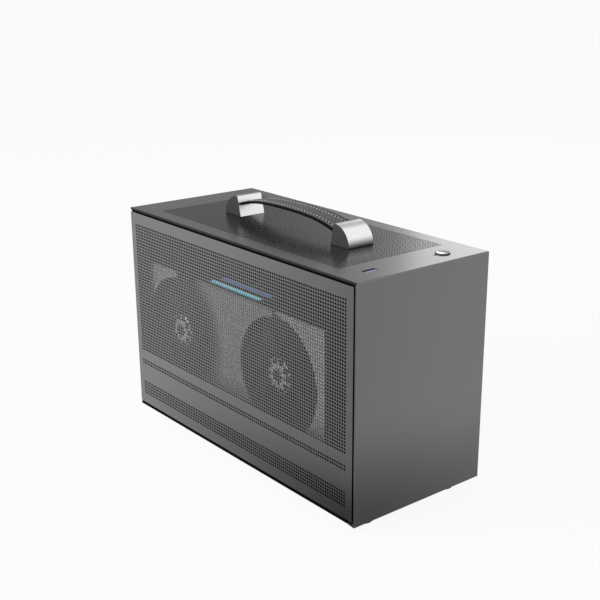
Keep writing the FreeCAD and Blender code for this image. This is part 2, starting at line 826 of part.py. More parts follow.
def riser_bracket():
    x = (edge_x - riser_over, edge_x + edge_length + riser_over)
    top = edge_low_z + riser_bite - riser_h
    middle = card_board_face + card_board_t / 2
    profile = outline("x", x[0], (
        (middle - riser_width / 2 - riser_flange, z_floor, 0), (middle - riser_width / 2, z_floor, 0),
        (middle - riser_width / 2, top - frame_t, 0), (middle + riser_width / 2, top - frame_t, 0),
        (middle + riser_width / 2, top, 0), (middle - riser_width / 2 - frame_t, top, 0),
        (middle - riser_width / 2 - frame_t, z_floor + frame_t, 0),
        (middle - riser_width / 2 - riser_flange, z_floor + frame_t, 0)))
    return slab("x", x[0], x[1] - x[0], profile)


# Places that several pieces share
stud_hole_r = stud_r + fit_gap / math.cos(math.pi / 6)
circuit_top = z_top - socket_h
switch_rim = circuit_top + switch_body_h + button_travel
switch_top = switch_rim + fit_gap + button_travel
strap_turn_x = block_inner_x + block_lean / 2
handle_screw_places = [(sx * handle_screw_x, sy * handle_screw_y) for sx in (-1, 1) for sy in (-1, 1)]
feet = {
    "rear_left_foot": (x_rear + foot_inset_x, -y_side + foot_inset_y),
    "rear_right_foot": (x_rear + foot_inset_x, y_side - foot_inset_y),
    "front_left_foot": (x_front - foot_inset_x, -y_side + foot_inset_y),
    "front_right_foot": (x_front - foot_inset_x, y_side - foot_inset_y),
}
vent_row_y = (frame_y - frame_t + tray_y) / 2
board_low_z = z_floor + board_edge_z
board_face = tray_y + standoff_h + board_t
board_far_x = rear_inside + board_far_hole
lower_holes_z = board_low_z + board_hole_edge
upper_holes_z = lower_holes_z + board_hole_rise
board_holes = [(board_far_x, lower_holes_z), (board_far_x - board_low_span, lower_holes_z),
               (board_far_x, upper_holes_z), (board_far_x - board_high_span, upper_holes_z)]
board_window_x = board_far_x - board_low_span / 2
board_window_z = (lower_holes_z + upper_holes_z) / 2
port_low_y = board_face - port_window_drop
port_low_z = board_low_z + port_window_low
port_window = ((port_low_y, port_low_y + port_window_y), (port_low_z, port_low_z + port_window_z))
rear_vent_half = (frame_y - frame_t - port_window[0][1]) / 2 - vent_width
supply_centre_y = tray_y + supply_side_gap + supply_hole_y / 2
card_board_face = card_back - backplate_t - card_board_t
fan_start = card_face + fan_face_drop
sink_face = fan_start + fan_depth + fit_gap + mount_t
slot_middle = card_board_face - slot_offset
card_slot_z = (card_low_z + card_top_z) / 2
edge_low_z = card_low_z - riser_bite - fit_gap

export("top_front_cover", cover())
export("left_side_panel", left_panel())
export("right_side_panel", mirror_y(left_panel()))
export("left_panel_studs", left_studs())
export("right_panel_studs", mirror_y(left_studs()))
export("left_panel_clips", left_clips())
export("right_panel_clips", mirror_y(left_clips()))
export("base_plate", base())
export("left_top_rail", left_rail())
export("right_top_rail", mirror_y(left_rail()))
export("rear_panel", rear_panel())
export("board_tray", tray())
export("board_standoffs", standoffs())
export("supply_bracket", supply_bracket())
for name, place in feet.items():
    export(name, foot(*place))
export("handle_strap", handle_strap())
export("front_handle_block", front_block())
export("rear_handle_block", mirror_x(front_block()))
export("handle_screws", handle_screws())
export("power_button", power_button())
export("button_switch", button_switch())
export("power_light", power_light())
export("usb_shell", usb_shell())
export("usb_tongue", usb_tongue())
export("front_socket_board", circuit())
export("board_posts", board_posts())
export("mains_inlet", mains_inlet())
export("inlet_pins", inlet_pins())
export("card_shroud", card_shroud())
for side, fan_x in (("rear", fan_rear_x), ("front", fan_front_x)):
    export("card_" + side + "_fan", fan(fan_x))
    export(side + "_fan_cap", fan_cap(fan_x))
    export(side + "_fan_mount", fan_mount(fan_x))
export("card_heatsink", card_heatsink())
export("card_board", card_board())
export("card_backplate", card_backplate())
export("card_bracket", card_bracket())
export("card_ports", card_ports())
export("bright_light_bar", light_bar(bright_bar_back, bright_bar_width))
export("dim_light_bar", light_bar(dim_bar_back, dim_bar_width))
export("riser_socket", riser_socket())
export("riser_bracket", riser_bracket())
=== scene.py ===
"""Looks of a small mesh-sided computer case with a strap handle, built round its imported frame.

Metres. +X points from the rear to the plain front, +Z is up, and the origin is on the floor under
the middle of the case.
"""

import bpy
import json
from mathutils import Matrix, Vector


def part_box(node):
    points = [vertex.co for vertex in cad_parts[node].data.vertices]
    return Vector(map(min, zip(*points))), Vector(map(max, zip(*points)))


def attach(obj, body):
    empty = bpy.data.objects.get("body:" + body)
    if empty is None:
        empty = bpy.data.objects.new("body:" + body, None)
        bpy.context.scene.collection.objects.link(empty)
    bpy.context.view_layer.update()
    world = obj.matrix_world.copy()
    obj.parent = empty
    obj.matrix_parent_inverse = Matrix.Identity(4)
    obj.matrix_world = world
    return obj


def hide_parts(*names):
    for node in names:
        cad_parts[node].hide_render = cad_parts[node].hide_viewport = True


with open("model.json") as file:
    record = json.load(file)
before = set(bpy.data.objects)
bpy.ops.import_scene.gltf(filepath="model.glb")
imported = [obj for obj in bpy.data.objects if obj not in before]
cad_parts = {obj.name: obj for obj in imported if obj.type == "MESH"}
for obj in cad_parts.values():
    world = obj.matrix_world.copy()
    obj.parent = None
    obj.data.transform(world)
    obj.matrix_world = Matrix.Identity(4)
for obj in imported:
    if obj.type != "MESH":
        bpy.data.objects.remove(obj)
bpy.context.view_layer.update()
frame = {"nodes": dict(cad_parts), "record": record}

import json
import math

import bpy
import numpy as np
from mathutils import Vector

bl_info = {
    "name": "Mesh-sided mini PC case",
    "version": (1, 0, 0),
    "blender": (4, 5, 0),
    "location": "3D View > Sidebar > Case",
    "description": "Builds the looks of a small computer case round its packed frame",
    "category": "Object",
}

MM = 0.001
TINY = 1e-7
WELD = 1e-6
X, Y, Z = np.eye(3)
SQUARE = np.array([[-1, -1], [1, -1], [1, 1], [-1, 1]])


def corners_of(node):
    """Low and high corner of a frame node's box."""
    return (np.array(corner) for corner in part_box(node))


COVER_LOW, COVER_HIGH = corners_of("top_front_cover")
PANEL_LOW, PANEL_HIGH = corners_of("left_side_panel")
CARD_LOW, CARD_HIGH = corners_of("card_shroud")
BUTTON_LOW, BUTTON_HIGH = corners_of("power_button")
SOCKET_LOW, SOCKET_HIGH = corners_of("usb_shell")
LIGHT_LOW, LIGHT_HIGH = corners_of("power_light")
BLOCK_LOW, BLOCK_HIGH = corners_of("front_handle_block")
TOP = COVER_HIGH[2]
FRONT = COVER_HIGH[0]
SIDE = COVER_HIGH[1]
BUTTON = (BUTTON_LOW + BUTTON_HIGH) / 2
SOCKET = (SOCKET_LOW + SOCKET_HIGH) / 2
LIGHT = (LIGHT_LOW + LIGHT_HIGH) / 2
FEET = ("front_left_foot", "front_right_foot", "rear_left_foot", "rear_right_foot")
# Bands of holes in a side panel, from its top: first row and number of rows
SIDE_BANDS = ((0, 44), (47, 2), (55, 5))
SIDE_COLUMNS = 106
SIDE_FIRST_ROW = 12.0 * MM
TOP_COLUMNS, TOP_ROWS = 88, 39
TOP_FIELD_X = -3.0 * MM


def length(label, words, default):
    return bpy.props.FloatProperty(name=label, description=words, default=default, unit="LENGTH", precision=5)


def colour(label, words, default):
    return bpy.props.FloatVectorProperty(name=label, description=words, default=default, size=3, min=0, max=1,
                                         subtype="COLOR")


class CASE_PG_sizes(bpy.types.PropertyGroup):
    """Sizes of the pieces that are built round the frame."""

    hole_pitch: length("Hole pitch", "Distance between the middles of neighbouring holes", 3.0 * MM)
    hole_diameter: length("Hole diameter", "Across the round holes of the sides and top", 2.22 * MM)
    hole_flare: length("Hole flare", "Widening of each hole's radius towards the back of its sheet", 0.2 * MM)
    panel_edge: length("Panel edge", "Soft edge round each side panel", 0.15 * MM)
    panel_thickness: length("Panel thickness", "Sheet of the side panels", 0.4 * MM)
    cover_edge: length("Cover edge", "Soft edge along the cover's cut sides", 0.3 * MM)
    cover_thickness: length("Cover thickness", "Sheet of the folded cover", 2.0 * MM)
    fold_radius: length("Fold radius", "Outside radius of the cover's folds", 1.2 * MM)
    return_depth: length("Return flange", "Flange folded back under the base", 9.5 * MM)
    return_slant: length("Flange slant", "Slanted cut at each end of that flange", 0.8 * MM)
    strap_width: length("Strap width", "Width of the handle's strap", 27.0 * MM)
    strap_thickness: length("Strap thickness", "Thickness of the handle's strap", 3.3 * MM)
    strap_crown: length("Strap height", "Middle of the strap above the top, at the centre", 19.53 * MM)
    stitch_pitch: length("Stitch pitch", "Distance between neighbouring stitches", 4.2 * MM)
    stitch_row: length("Stitch row", "Stitch rows from the strap's middle", 6.9 * MM)
    block_radius: length("Block radius", "Quarter-round outer side of the handle's blocks", 19.0 * MM)
    fan_opening: length("Fan opening", "Radius of the card's fan openings", 52.0 * MM)


class CASE_PG_colours(bpy.types.PropertyGroup):
    """Colours of the finishes."""

    body_grey: colour("Body", "Satin paint of the cover and side panels", (0.185, 0.185, 0.188))
    frame_black: colour("Frame", "Powder coat of the inner sheets", (0.006, 0.006, 0.0065))
    handle_metal: colour("Handle", "Brushed metal of the handle's blocks", (0.92, 0.92, 0.93))
    cheek_grey: colour("Handle cheeks", "Dark sides of the handle's blocks", (0.05, 0.05, 0.052))
    leather: colour("Strap", "Leather of the strap", (0.125, 0.125, 0.127))
    thread: colour("Thread", "Stitches of the strap", (0.72, 0.72, 0.71))
    silver: colour("Card", "Silver of the graphics card's shroud", (0.85, 0.85, 0.855))
    bright_light: colour("Bright bar", "Lit bar nearer the side", (0.18, 0.62, 0.78))
    dim_light: colour("Dim bar", "Lit bar further in", (0.10, 0.18, 0.40))
    floor: colour("Floor", "Pale floor", (0.86, 0.86, 0.86))


class Wire:
    """A shader socket: sums and products of wires and numbers add Math nodes."""

    def __init__(self, tree, socket=None):
        self.tree = tree
        self.socket = socket

    def node(self, kind, settings=None, inputs=None, output=0):
        """Adds a node, its settings first and then the values or links of its sockets."""
        made = self.tree.nodes.new(kind)
        for key, value in (settings or {}).items():
            setattr(made, key, value)
        for key, value in (inputs or {}).items():
            if isinstance(value, Wire):
                self.tree.links.new(value.socket, made.inputs[key])
            else:
                made.inputs[key].default_value = value
        return Wire(self.tree, made.outputs[output])

    def math(self, operation, *values):
        return self.node("ShaderNodeMath", {"operation": operation}, dict(enumerate(values)))

    def __add__(self, other):
        return self.math("ADD", self, other)

    def __sub__(self, other):
        return self.math("SUBTRACT", self, other)

    def __rsub__(self, other):
        return self.math("SUBTRACT", other, self)

    def __mul__(self, other):
        return self.math("MULTIPLY", self, other)

    __radd__ = __add__
    __rmul__ = __mul__

    def __abs__(self):
        return self.math("ABSOLUTE", self)

    def clamped(self):
        return self.node("ShaderNodeClamp", None, {"Value": self})

    def axes(self):
        """The object's own x, y and z."""
        place = self.node("ShaderNodeTexCoord", output="Object")
        apart = self.node("ShaderNodeSeparateXYZ", None, {0: place}).socket.node
        return [Wire(self.tree, socket) for socket in apart.outputs]

    def bump(self, distance):
        """Normal of a relief whose height is this value times the distance."""
        return self.node("ShaderNodeBump", None, {"Height": self, "Distance": distance})

    def smooth(self, low, high):
        """0 below low and 1 above high, with a soft step between."""
        return self.node("ShaderNodeMapRange", {"interpolation_type": "SMOOTHSTEP"},
                         {"Value": self, "From Min": low, "From Max": high})

    def blend(self, first, second):
        """Colour that goes from the first to the second as this value goes from 0 to 1."""
        return self.node("ShaderNodeMix", {"data_type": "RGBA"}, {0: self, 6: first, 7: second}, 2)


def shade(tint, factor):
    """Colour with an alpha of 1, made lighter or darker by a factor."""
    return tuple(min(1.0, c * factor) for c in tint) + (1.0,)


def first_node(tree, kind):
    return next(node for node in tree.nodes if node.type == kind)


def new_material(name):
    """Material, an empty wire of its tree, and its shader."""
    if name in bpy.data.materials:
        raise RuntimeError(f"a material is already named {name}")
    material = bpy.data.materials.new(name)
    material.use_nodes = True
    tree = material.node_tree
    return material, Wire(tree), first_node(tree, "BSDF_PRINCIPLED")


def feed(shader, socket, value):
    """Links a wire to a shader's socket, or sets the socket's own value."""
    if isinstance(value, Wire):
        value.tree.links.new(value.socket, shader.inputs[socket])
    else:
        shader.inputs[socket].default_value = value


def grain_of(wire, scale, stretch=(1, 1, 1), detail=3.0):
    """Noise on the object's own coordinates, scale in features a metre along each stretched axis."""
    place = wire.node("ShaderNodeTexCoord", output="Object")
    place = wire.node("ShaderNodeMapping", None, {"Vector": place, "Scale": stretch})
    return wire.node("ShaderNodeTexNoise", None, {"Vector": place, "Scale": scale, "Detail": detail})


FINE_SHARE = 0.6
BROAD_GRAIN = 14.0


def finish(name, tint, roughness, metallic=0.0, grain=900.0, stretch=(1, 1, 1), contrast=0.1, spread=0.08,
           relief=0.0, coat=0.0, glow=0.0, sheen=0.5):
    """Finish with a fine grain and a broad drift in colour and roughness, and a fine relief."""
    material, wire, shader = new_material(name)
    fine = grain_of(wire, grain, stretch)
    broad = grain_of(wire, BROAD_GRAIN, detail=1.0)
    drift = fine * FINE_SHARE + broad * (1 - FINE_SHARE)
    tone = drift.blend(shade(tint, 1 - contrast), shade(tint, 1 + contrast))
    feed(shader, "Base Color", tone)
    feed(shader, "Roughness", drift * spread + (roughness - spread / 2))
    feed(shader, "Metallic", metallic)
    feed(shader, "Coat Weight", coat)
    feed(shader, "Specular IOR Level", sheen)
    if relief:
        feed(shader, "Normal", fine.bump(relief))
    if glow:
        feed(shader, "Emission Color", tone)
        feed(shader, "Emission Strength", glow)
    return material


def pebbled_leather(name, tint, row):
    """Fine-grained leather with a dull pebble relief, dark in its pits, with painted shade in the grooves
    along both stitch rows.
    """
    pebbles, pores, depth, groove = 1100.0, 2600.0, 0.12 * MM, (0.7 * MM, 1.3 * MM)
    crest_shade, pit_shade, row_shade = 1.35, 0.7, 0.3
    material, wire, shader = new_material(name)
    place = wire.node("ShaderNodeTexCoord", output="Object")
    pebble = wire.node("ShaderNodeTexVoronoi", {"feature": "SMOOTH_F1"}, {"Vector": place, "Scale": pebbles})
    grain = pebble * FINE_SHARE + grain_of(wire, pores) * (1 - FINE_SHARE)
    y = wire.axes()[1]
    beside = abs(abs(y) - row).smooth(*groove)
    hide = grain.blend(shade(tint, crest_shade), shade(tint, pit_shade))
    feed(shader, "Base Color", beside.blend(shade(tint, row_shade), hide))
    feed(shader, "Roughness", grain * 0.2 + 0.42)
    feed(shader, "Specular IOR Level", 0.1)
    feed(shader, "Normal", (1 - grain).bump(depth))
    return material


def shaded_plate(name, tint, low, middle=None):
    """Silver with painted shade: it fades to black towards its lower edge, and round a fan's middle (x, z) if
    one is given.
    """
    edge_fade, fan_fade = (low + 2 * MM, low + 38 * MM), (56 * MM, 82 * MM)
    material, wire, shader = new_material(name)
    x, _, z = wire.axes()
    share = z.smooth(*edge_fade)
    if middle is not None:
        across, up = x - middle[0], z - middle[1]
        share = share * wire.math("SQRT", across * across + up * up).smooth(*fan_fade)
    fine = grain_of(wire, 1400.0)
    tone = fine.blend(shade(tint, 0.95), shade(tint, 1.05))
    feed(shader, "Base Color", share.blend((0.03, 0.03, 0.03, 1), tone))
    feed(shader, "Roughness", fine * 0.1 + 0.4)


def dark_foot(material, tint):
    """Paints the reflection of the dark top into the foot of the handle's outer curves, as a darker colour
    there.
    """
    outer_x, foot_z, foot_shade = (80 * MM, 85 * MM), (TOP + 2.5 * MM, TOP + 9 * MM), 0.25
    shader = first_node(material.node_tree, "BSDF_PRINCIPLED")
    x, _, z = Wire(material.node_tree).axes()
    share = abs(x).smooth(*outer_x) * (1 - z.smooth(*foot_z))
    tone = Wire(material.node_tree, shader.inputs["Base Color"].links[0].from_socket)
    feed(shader, "Base Color", share.blend(tone, shade(tint, foot_shade)))


def make_finishes(sizes, colours):
    """Makes every finish once."""
    if "body_paint" in bpy.data.materials:
        return
    black, metal = colours.frame_black, colours.handle_metal
    finish("body_paint", colours.body_grey, 0.22, 0.9, 1800.0, contrast=0.04, spread=0.05, relief=0.006 * MM)
    # Near-black painted shade: it stands in for the shade in the holes' walls and the dark reflections on the
    # cover's cut edges
    finish("cut_edge", (0.018, 0.018, 0.019), 0.6, 0.0, 1800.0, contrast=0.15, sheen=0.15)
    finish("frame_coat", black, 0.6, 0.0, 1500.0, contrast=0.2, relief=0.03 * MM, sheen=0.15)
    # A darker copy of the frame's black: painted shade on the base, the top rails, the edge strips and the
    # tab, down in the case's gaps
    finish("deep_coat", shade(black, 0.5)[:3], 0.8, 0.0, 1500.0, contrast=0.2, sheen=0.02)
    finish("soft_rubber", (0.012, 0.012, 0.012), 0.75, 0.0, 1200.0, contrast=0.2, relief=0.05 * MM, sheen=0.2)
    dark_foot(finish("brushed_handle", metal, 0.24, 1.0, 2200.0, (1, 0.04, 1), 0.2, 0.2, 0.004 * MM), metal)
    # Dark grey painted on the blocks' sides, chamfers and foot strip: it stands in for the shade and dark
    # reflections on their metal
    finish("handle_cheek", colours.cheek_grey, 0.4, 0.3, 1500.0, contrast=0.06, relief=0.01 * MM, sheen=0.2)
    pebbled_leather("pebbled_leather", colours.leather, sizes.stitch_row)
    finish("strap_edge", (0.004, 0.004, 0.004), 0.8, 0.0, 1500.0, contrast=0.2, sheen=0.05)
    finish("strap_thread", colours.thread, 0.7, 0.0, 3000.0, contrast=0.2, relief=0.05 * MM)
    finish("socket_steel", (0.16, 0.16, 0.17), 0.45, 0.9)
    finish("zinc_plate", (0.4, 0.405, 0.41), 0.5, 0.9, 700.0, contrast=0.12, spread=0.2)
    finish("turned_brass", (0.72, 0.52, 0.22), 0.3, 1.0, 1500.0, (1, 0.05, 1), 0.12, 0.15)
    finish("satin_button", (0.56, 0.56, 0.57), 0.22, 1.0, 2500.0, contrast=0.05)
    finish("clear_lens", (0.03, 0.031, 0.033), 0.5, 0.0, 1500.0, sheen=0.08)
    finish("blue_tongue", (0.3, 0.35, 0.75), 0.4)
    finish("circuit_mask", (0.012, 0.02, 0.015), 0.35, 0.0, 500.0, contrast=0.3, spread=0.2)
    finish("matt_plastic", (0.018, 0.018, 0.018), 0.5, 0.0, 1200.0, contrast=0.2, relief=0.02 * MM)
    finish("blade_plastic", (0.009, 0.009, 0.0095), 0.45, contrast=0.2, relief=0.01 * MM, sheen=0.25)
    finish("ring_grey", (0.05, 0.05, 0.052), 0.6, sheen=0.1)
    finish("shroud_black", (0.02, 0.02, 0.021), 0.6, 0.0, 1200.0, contrast=0.15, sheen=0.1)
    finish("fin_metal", (0.42, 0.42, 0.43), 0.4, 1.0, 800.0, (1, 1, 0.05), 0.15, 0.2)
    # Near-white painted glint that stands in for the bright reflections of chrome facets
    finish("hub_chrome", (0.96, 0.96, 0.96), 0.2, 0.15, 1200.0, contrast=0.04, spread=0.06, coat=0.5)
    finish("bright_glow", colours.bright_light, 0.3, 0.0, 220.0, contrast=0.25, glow=1.1)
    finish("dim_glow", colours.dim_light, 0.35, 0.0, 220.0, contrast=0.3, glow=0.9)


def open_edges(faces):
    """Directed edges that only one of the faces uses."""
    pairs = np.concatenate([np.stack([f, np.roll(f, -1, 1)], -1).reshape(-1, 2) for f in faces])
    base = pairs.max() + 1
    forward = pairs[:, 0] * base + pairs[:, 1]
    return pairs[~np.isin(forward, pairs[:, 1] * base + pairs[:, 0])]


def weld(points, faces):
    """Joins points that fall together and drops those that no face uses."""
    keys = np.round(points / WELD).astype(np.int64)
    first, place = np.unique(keys, axis=0, return_index=True, return_inverse=True)[1:]
    place = place.ravel()
    faces = [place[f] for f in faces]
    used, corners = np.unique(np.concatenate([f.ravel() for f in faces]), return_inverse=True)
    splits = np.cumsum([f.size for f in faces])[:-1]
    return points[first[used]], [c.reshape(f.shape) for c, f in zip(np.split(corners.ravel(), splits), faces)]


def place_at(points, origin, u, v):
    """Carries points (u, v, w) to an origin and two axes, w along their cross product."""
    return np.asarray(origin) + points[:, :1] * u + points[:, 1:2] * v + points[:, 2:] * np.cross(u, v)


def put(name, points, faces, looks, body, slot, stands_for=(), sharp=32.0, kinds=None):
    """Makes the object of a piece, rides it on its body and hides the nodes it replaces; its slot is not
    used.

    Looks are the names of its finishes, and kinds number the finish of each set of faces.
    """
    points, faces = weld(points, faces)
    mesh = bpy.data.meshes.new(name)
    totals = np.concatenate([np.full(len(f), f.shape[1]) for f in faces])
    corners = np.concatenate([f.ravel() for f in faces])
    mesh.vertices.add(len(points))
    mesh.vertices.foreach_set("co", points.astype(np.float32).ravel())
    mesh.loops.add(len(corners))
    mesh.loops.foreach_set("vertex_index", corners.astype(np.int32))
    mesh.polygons.add(len(totals))
    mesh.polygons.foreach_set("loop_start", (np.cumsum(totals) - totals).astype(np.int32))
    for look in looks:
        mesh.materials.append(bpy.data.materials[look])
    if kinds is not None:
        index = np.concatenate([np.full(len(f), k) for f, k in zip(faces, kinds)])
        mesh.polygons.foreach_set("material_index", index.astype(np.int32))
    mesh.update(calc_edges=True)
    if mesh.validate():
        raise RuntimeError(f"{name} has a faulty mesh")
    mesh.shade_smooth()
    mesh.set_sharp_from_angle(angle=math.radians(sharp))
    piece = bpy.data.objects.new(name, mesh)
    bpy.context.scene.collection.objects.link(piece)
    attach(piece, body)
    if stands_for:
        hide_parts(*stands_for)


def block(low, high):
    """Box between two corners: its rectangle over y and z carried along x."""
    (x0, y0, z0), (x1, y1, z1) = low, high
    loop = np.array([[y0, z0], [y0, z1], [y1, z1], [y1, z0]])
    return sweep(np.stack([np.column_stack([np.full(4, x), loop]) for x in (x0, x1)]))


def joined(parts):
    """One set of points and faces from several."""
    starts = np.cumsum([0] + [len(part[0]) for part in parts])
    faces = [f + start for part, start in zip(parts, starts) for f in part[1]]
    return np.concatenate([part[0] for part in parts]), faces


def hole_field(columns, rows, pitch, radius, centre):
    """Flat lattice of eight-sided holes on a square grid, corner i of a hole at 22.5 + 45 i degrees.

    Four-sided faces join neighbouring holes, eight-sided ones lie among four holes, and four border
    faces reach out to a rectangle half a pitch past the outer holes, whose corners are the last points.
    The third value is each point's direction away from the middle of its hole.
    """
    turn = np.radians(22.5 + 45 * np.arange(8))
    u = centre[0] + (np.arange(columns) - (columns - 1) / 2) * pitch
    v = centre[1] + (np.arange(rows) - (rows - 1) / 2) * pitch
    circle = np.stack([np.cos(turn), np.sin(turn)], -1)
    points = (np.stack(np.meshgrid(u, v), -1)[:, :, None] + radius * circle).reshape(-1, 2)
    away = np.concatenate([np.tile(circle, (rows * columns, 1)), np.zeros((4, 2))])
    at = np.arange(rows * columns * 8).reshape(rows, columns, 8)
    left, right, low, high = at[:, :-1], at[:, 1:], at[:-1], at[1:]
    across = np.stack([left[..., 7], right[..., 4], right[..., 3], left[..., 0]], -1)
    upward = np.stack([low[..., 2], low[..., 1], high[..., 6], high[..., 5]], -1)
    a, b, c, d = at[:-1, :-1], at[:-1, 1:], at[1:, 1:], at[1:, :-1]
    among = np.stack([a[..., 0], b[..., 3], b[..., 2], c[..., 5],
                      c[..., 4], d[..., 7], d[..., 6], a[..., 1]], -1)
    last = len(points)
    corners = np.array([[u[0], v[0]], [u[-1], v[0]], [u[-1], v[-1]], [u[0], v[-1]]])
    corners += pitch / 2 * SQUARE
    borders = (
        np.r_[last, last + 1, at[0, ::-1][:, [7, 6, 5, 4]].ravel()],
        np.r_[last + 1, last + 2, at[::-1, -1][:, [1, 0, 7, 6]].ravel()[1:-1]],
        np.r_[last + 2, last + 3, at[-1][:, [3, 2, 1, 0]].ravel()],
        np.r_[last + 3, last, at[:, 0][:, [5, 4, 3, 2]].ravel()[1:-1]],
    )
    faces = [across.reshape(-1, 4), upward.reshape(-1, 4), among.reshape(-1, 8)]
    return np.concatenate([points, corners]), faces + [b[None] for b in borders], away


def plate(points, faces, flare, thickness, edge, low, high, folds=False):
    """Closed sheet from its flat outer face, with a soft edge round its rim and holes that flare to the back.

    The outer face stops short of the rim by the edge. Where the sheet folds on, its high u side
    stays open. The last four sets of faces are the walls of the holes and the rim's three strips.
    """
    count = len(points)
    push = edge * ((points > high - edge - TINY).astype(float) - (points < low + edge + TINY))
    if folds:
        push[:, 0] = np.minimum(push[:, 0], 0)
    on_rim = np.abs(push).any(1)
    layers = []
    for level, outward in ((0, 0), (-edge, 1), (edge - thickness, 1), (-thickness, 0)):
        spot = points + outward * push + (flare if level == -thickness else 0)
        layers.append(np.column_stack([spot, np.full(count, level)]))
    edges = open_edges(faces)
    rim = on_rim[edges].all(1)
    if folds:
        fold = (points[edges][..., 0] > high[0] - TINY).all(1)
        edges, rim = edges[~fold], rim[~fold]
    start, end = edges.T
    walls = np.stack([end, start, start + 3 * count, end + 3 * count], -1)[~rim]
    rims = []
    for layer in range(3):
        near, far = layer * count, (layer + 1) * count
        rims.append(np.stack([end + near, start + near, start + far, end + far], -1)[rim])
    return np.concatenate(layers), faces + [f[:, ::-1] + 3 * count for f in faces] + [walls] + rims


def sweep(rings, cap_start=True, cap_end=True):
    """Skin over rings of points (stations, around, 3), with flat ends where they are asked for.

    Seen from the last ring, each ring runs clockwise.
    """
    stations, around = rings.shape[:2]
    at = np.arange(stations * around).reshape(stations, around)
    nextdoor = np.roll(at, -1, 1)
    faces = [np.stack([at[:-1], at[1:], nextdoor[1:], nextdoor[:-1]], -1).reshape(-1, 4)]
    if cap_start:
        faces.append(at[:1])
    if cap_end:
        faces.append(at[-1:, ::-1])
    return rings.reshape(-1, 3), faces


def spun(profile, count):
    """Points of a (radius, height) profile turned about w, and their numbers, one row a profile point."""
    turn = 2 * np.pi * np.arange(count) / count
    flat = profile[:, None, :1] * np.stack([np.cos(turn), np.sin(turn)], -1)
    height = np.broadcast_to(profile[:, None, 1:], flat.shape[:2] + (1,))
    points = np.concatenate([flat, height], -1).reshape(-1, 3)
    return points, np.arange(len(points)).reshape(-1, count)


def lathe(profile, count):
    """Solid of revolution about w: (radius, height) points from the axis below, outwards, up and back."""
    points, at = spun(np.asarray(profile[1:-1], float), count)
    turned = np.roll(at, -1, 1)
    low, high = at.size, at.size + 1
    faces = [
        np.stack([at[:-1], turned[:-1], turned[1:], at[1:]], -1).reshape(-1, 4),
        np.stack([np.full(count, low), turned[0], at[0]], -1),
        np.stack([np.full(count, high), at[-1], turned[-1]], -1),
    ]
    poles = np.array([[0, 0, profile[0][1]], [0, 0, profile[-1][1]]], float)
    return np.concatenate([points, poles]), faces


def hoop(profile, count):
    """Closed ring about w from a closed (radius, height) loop that goes up on its outer side."""
    points, at = spun(np.asarray(profile, float), count)
    up, turned = np.roll(at, -1, 0), np.roll(at, -1, 1)
    return points, [np.stack([at, turned, np.roll(up, -1, 1), up], -1).reshape(-1, 4)]


def inset(loop, distance):
    """Loop (n, 2) moved inwards along its averaged normals, for a loop that runs anticlockwise."""
    ahead = np.roll(loop, -1, 0) - loop
    ahead /= np.linalg.norm(ahead, axis=1, keepdims=True)
    normal = np.stack([-ahead[:, 1], ahead[:, 0]], -1)
    both = normal + np.roll(normal, 1, 0)
    both /= (both * np.roll(normal, 1, 0)).sum(1, keepdims=True)
    return loop + distance * both


def slab(loop, thickness, edge):
    """Flat piece with an anticlockwise outline in u, v, its outer face at w 0, and a soft outer edge."""
    levels = ((inset(loop, edge), 0), (loop, -edge), (loop, -thickness))
    rings = np.stack([np.column_stack([ring, np.full(len(ring), w)]) for ring, w in levels])
    return sweep(rings[::-1, ::-1])


def arc(centre, radius, start, end, count):
    """Points along a circle from one angle to another, in degrees."""
    turn = np.radians(np.linspace(start, end, count))
    return np.asarray(centre) + radius * np.stack([np.cos(turn), np.sin(turn)], -1)


class Builder:
    """Shared by the operators of the pieces: makes the finishes once, then builds."""

    def execute(self, context):
        sizes, colours = context.scene.case_sizes, context.scene.case_colours
        make_finishes(sizes, colours)
        self.build(sizes, colours)
        return {"FINISHED"}


class CASE_OT_panels(Builder, bpy.types.Operator):
    """Both side panels, with every round hole of their three bands"""

    bl_idname = "mesh_case.panels"
    bl_label = "Side panels"

    def build(self, sizes, colours):
        middle = (PANEL_LOW + PANEL_HIGH) / 2
        half = (PANEL_HIGH - PANEL_LOW)[[0, 2]] / 2
        parts = []
        for first, rows in SIDE_BANDS:
            v = half[1] - SIDE_FIRST_ROW - (first + (rows - 1) / 2) * sizes.hole_pitch
            parts.append(hole_field(SIDE_COLUMNS, rows, sizes.hole_pitch, sizes.hole_diameter / 2, (0, v)))
        flare = sizes.hole_flare * np.concatenate([part[2] for part in parts] + [np.zeros((4, 2))])
        points, faces = joined(parts)
        ends = np.cumsum([len(part[0]) for part in parts])
        bands = ends[:, None] - [4, 3, 2, 1]
        p = len(points) + np.arange(4)
        margins = [
            np.r_[bands[0][[3, 2]], p[[2, 3]]],
            np.r_[p[[0, 1]], bands[-1][[1, 0]]],
            np.r_[p[[3, 0]], bands[::-1][:, [0, 3]].ravel()],
            np.r_[p[[1, 2]], bands[:, [2, 1]].ravel()],
        ]
        margins += [np.r_[low[[3, 2]], high[[1, 0]]] for high, low in zip(bands[:-1], bands[1:])]
        points = np.concatenate([points, (half - sizes.panel_edge) * SQUARE])
        faces = faces + [m[None] for m in margins]
        sheet, skin = plate(points, faces, flare, sizes.panel_thickness, sizes.panel_edge, -half, half)
        # The holes' walls get the near-black painted shade
        kinds = [0] * (len(skin) - 4) + [1, 0, 0, 0]
        for side, y, u in (("left", -SIDE, X), ("right", SIDE, -X)):
            world = place_at(sheet, (middle[0], y, middle[2]), u, Z)
            put(f"{side}_mesh_panel", world, skin, ["body_paint", "cut_edge"], f"{side}_panel", "case_grey",
                [f"{side}_side_panel"], kinds=kinds)


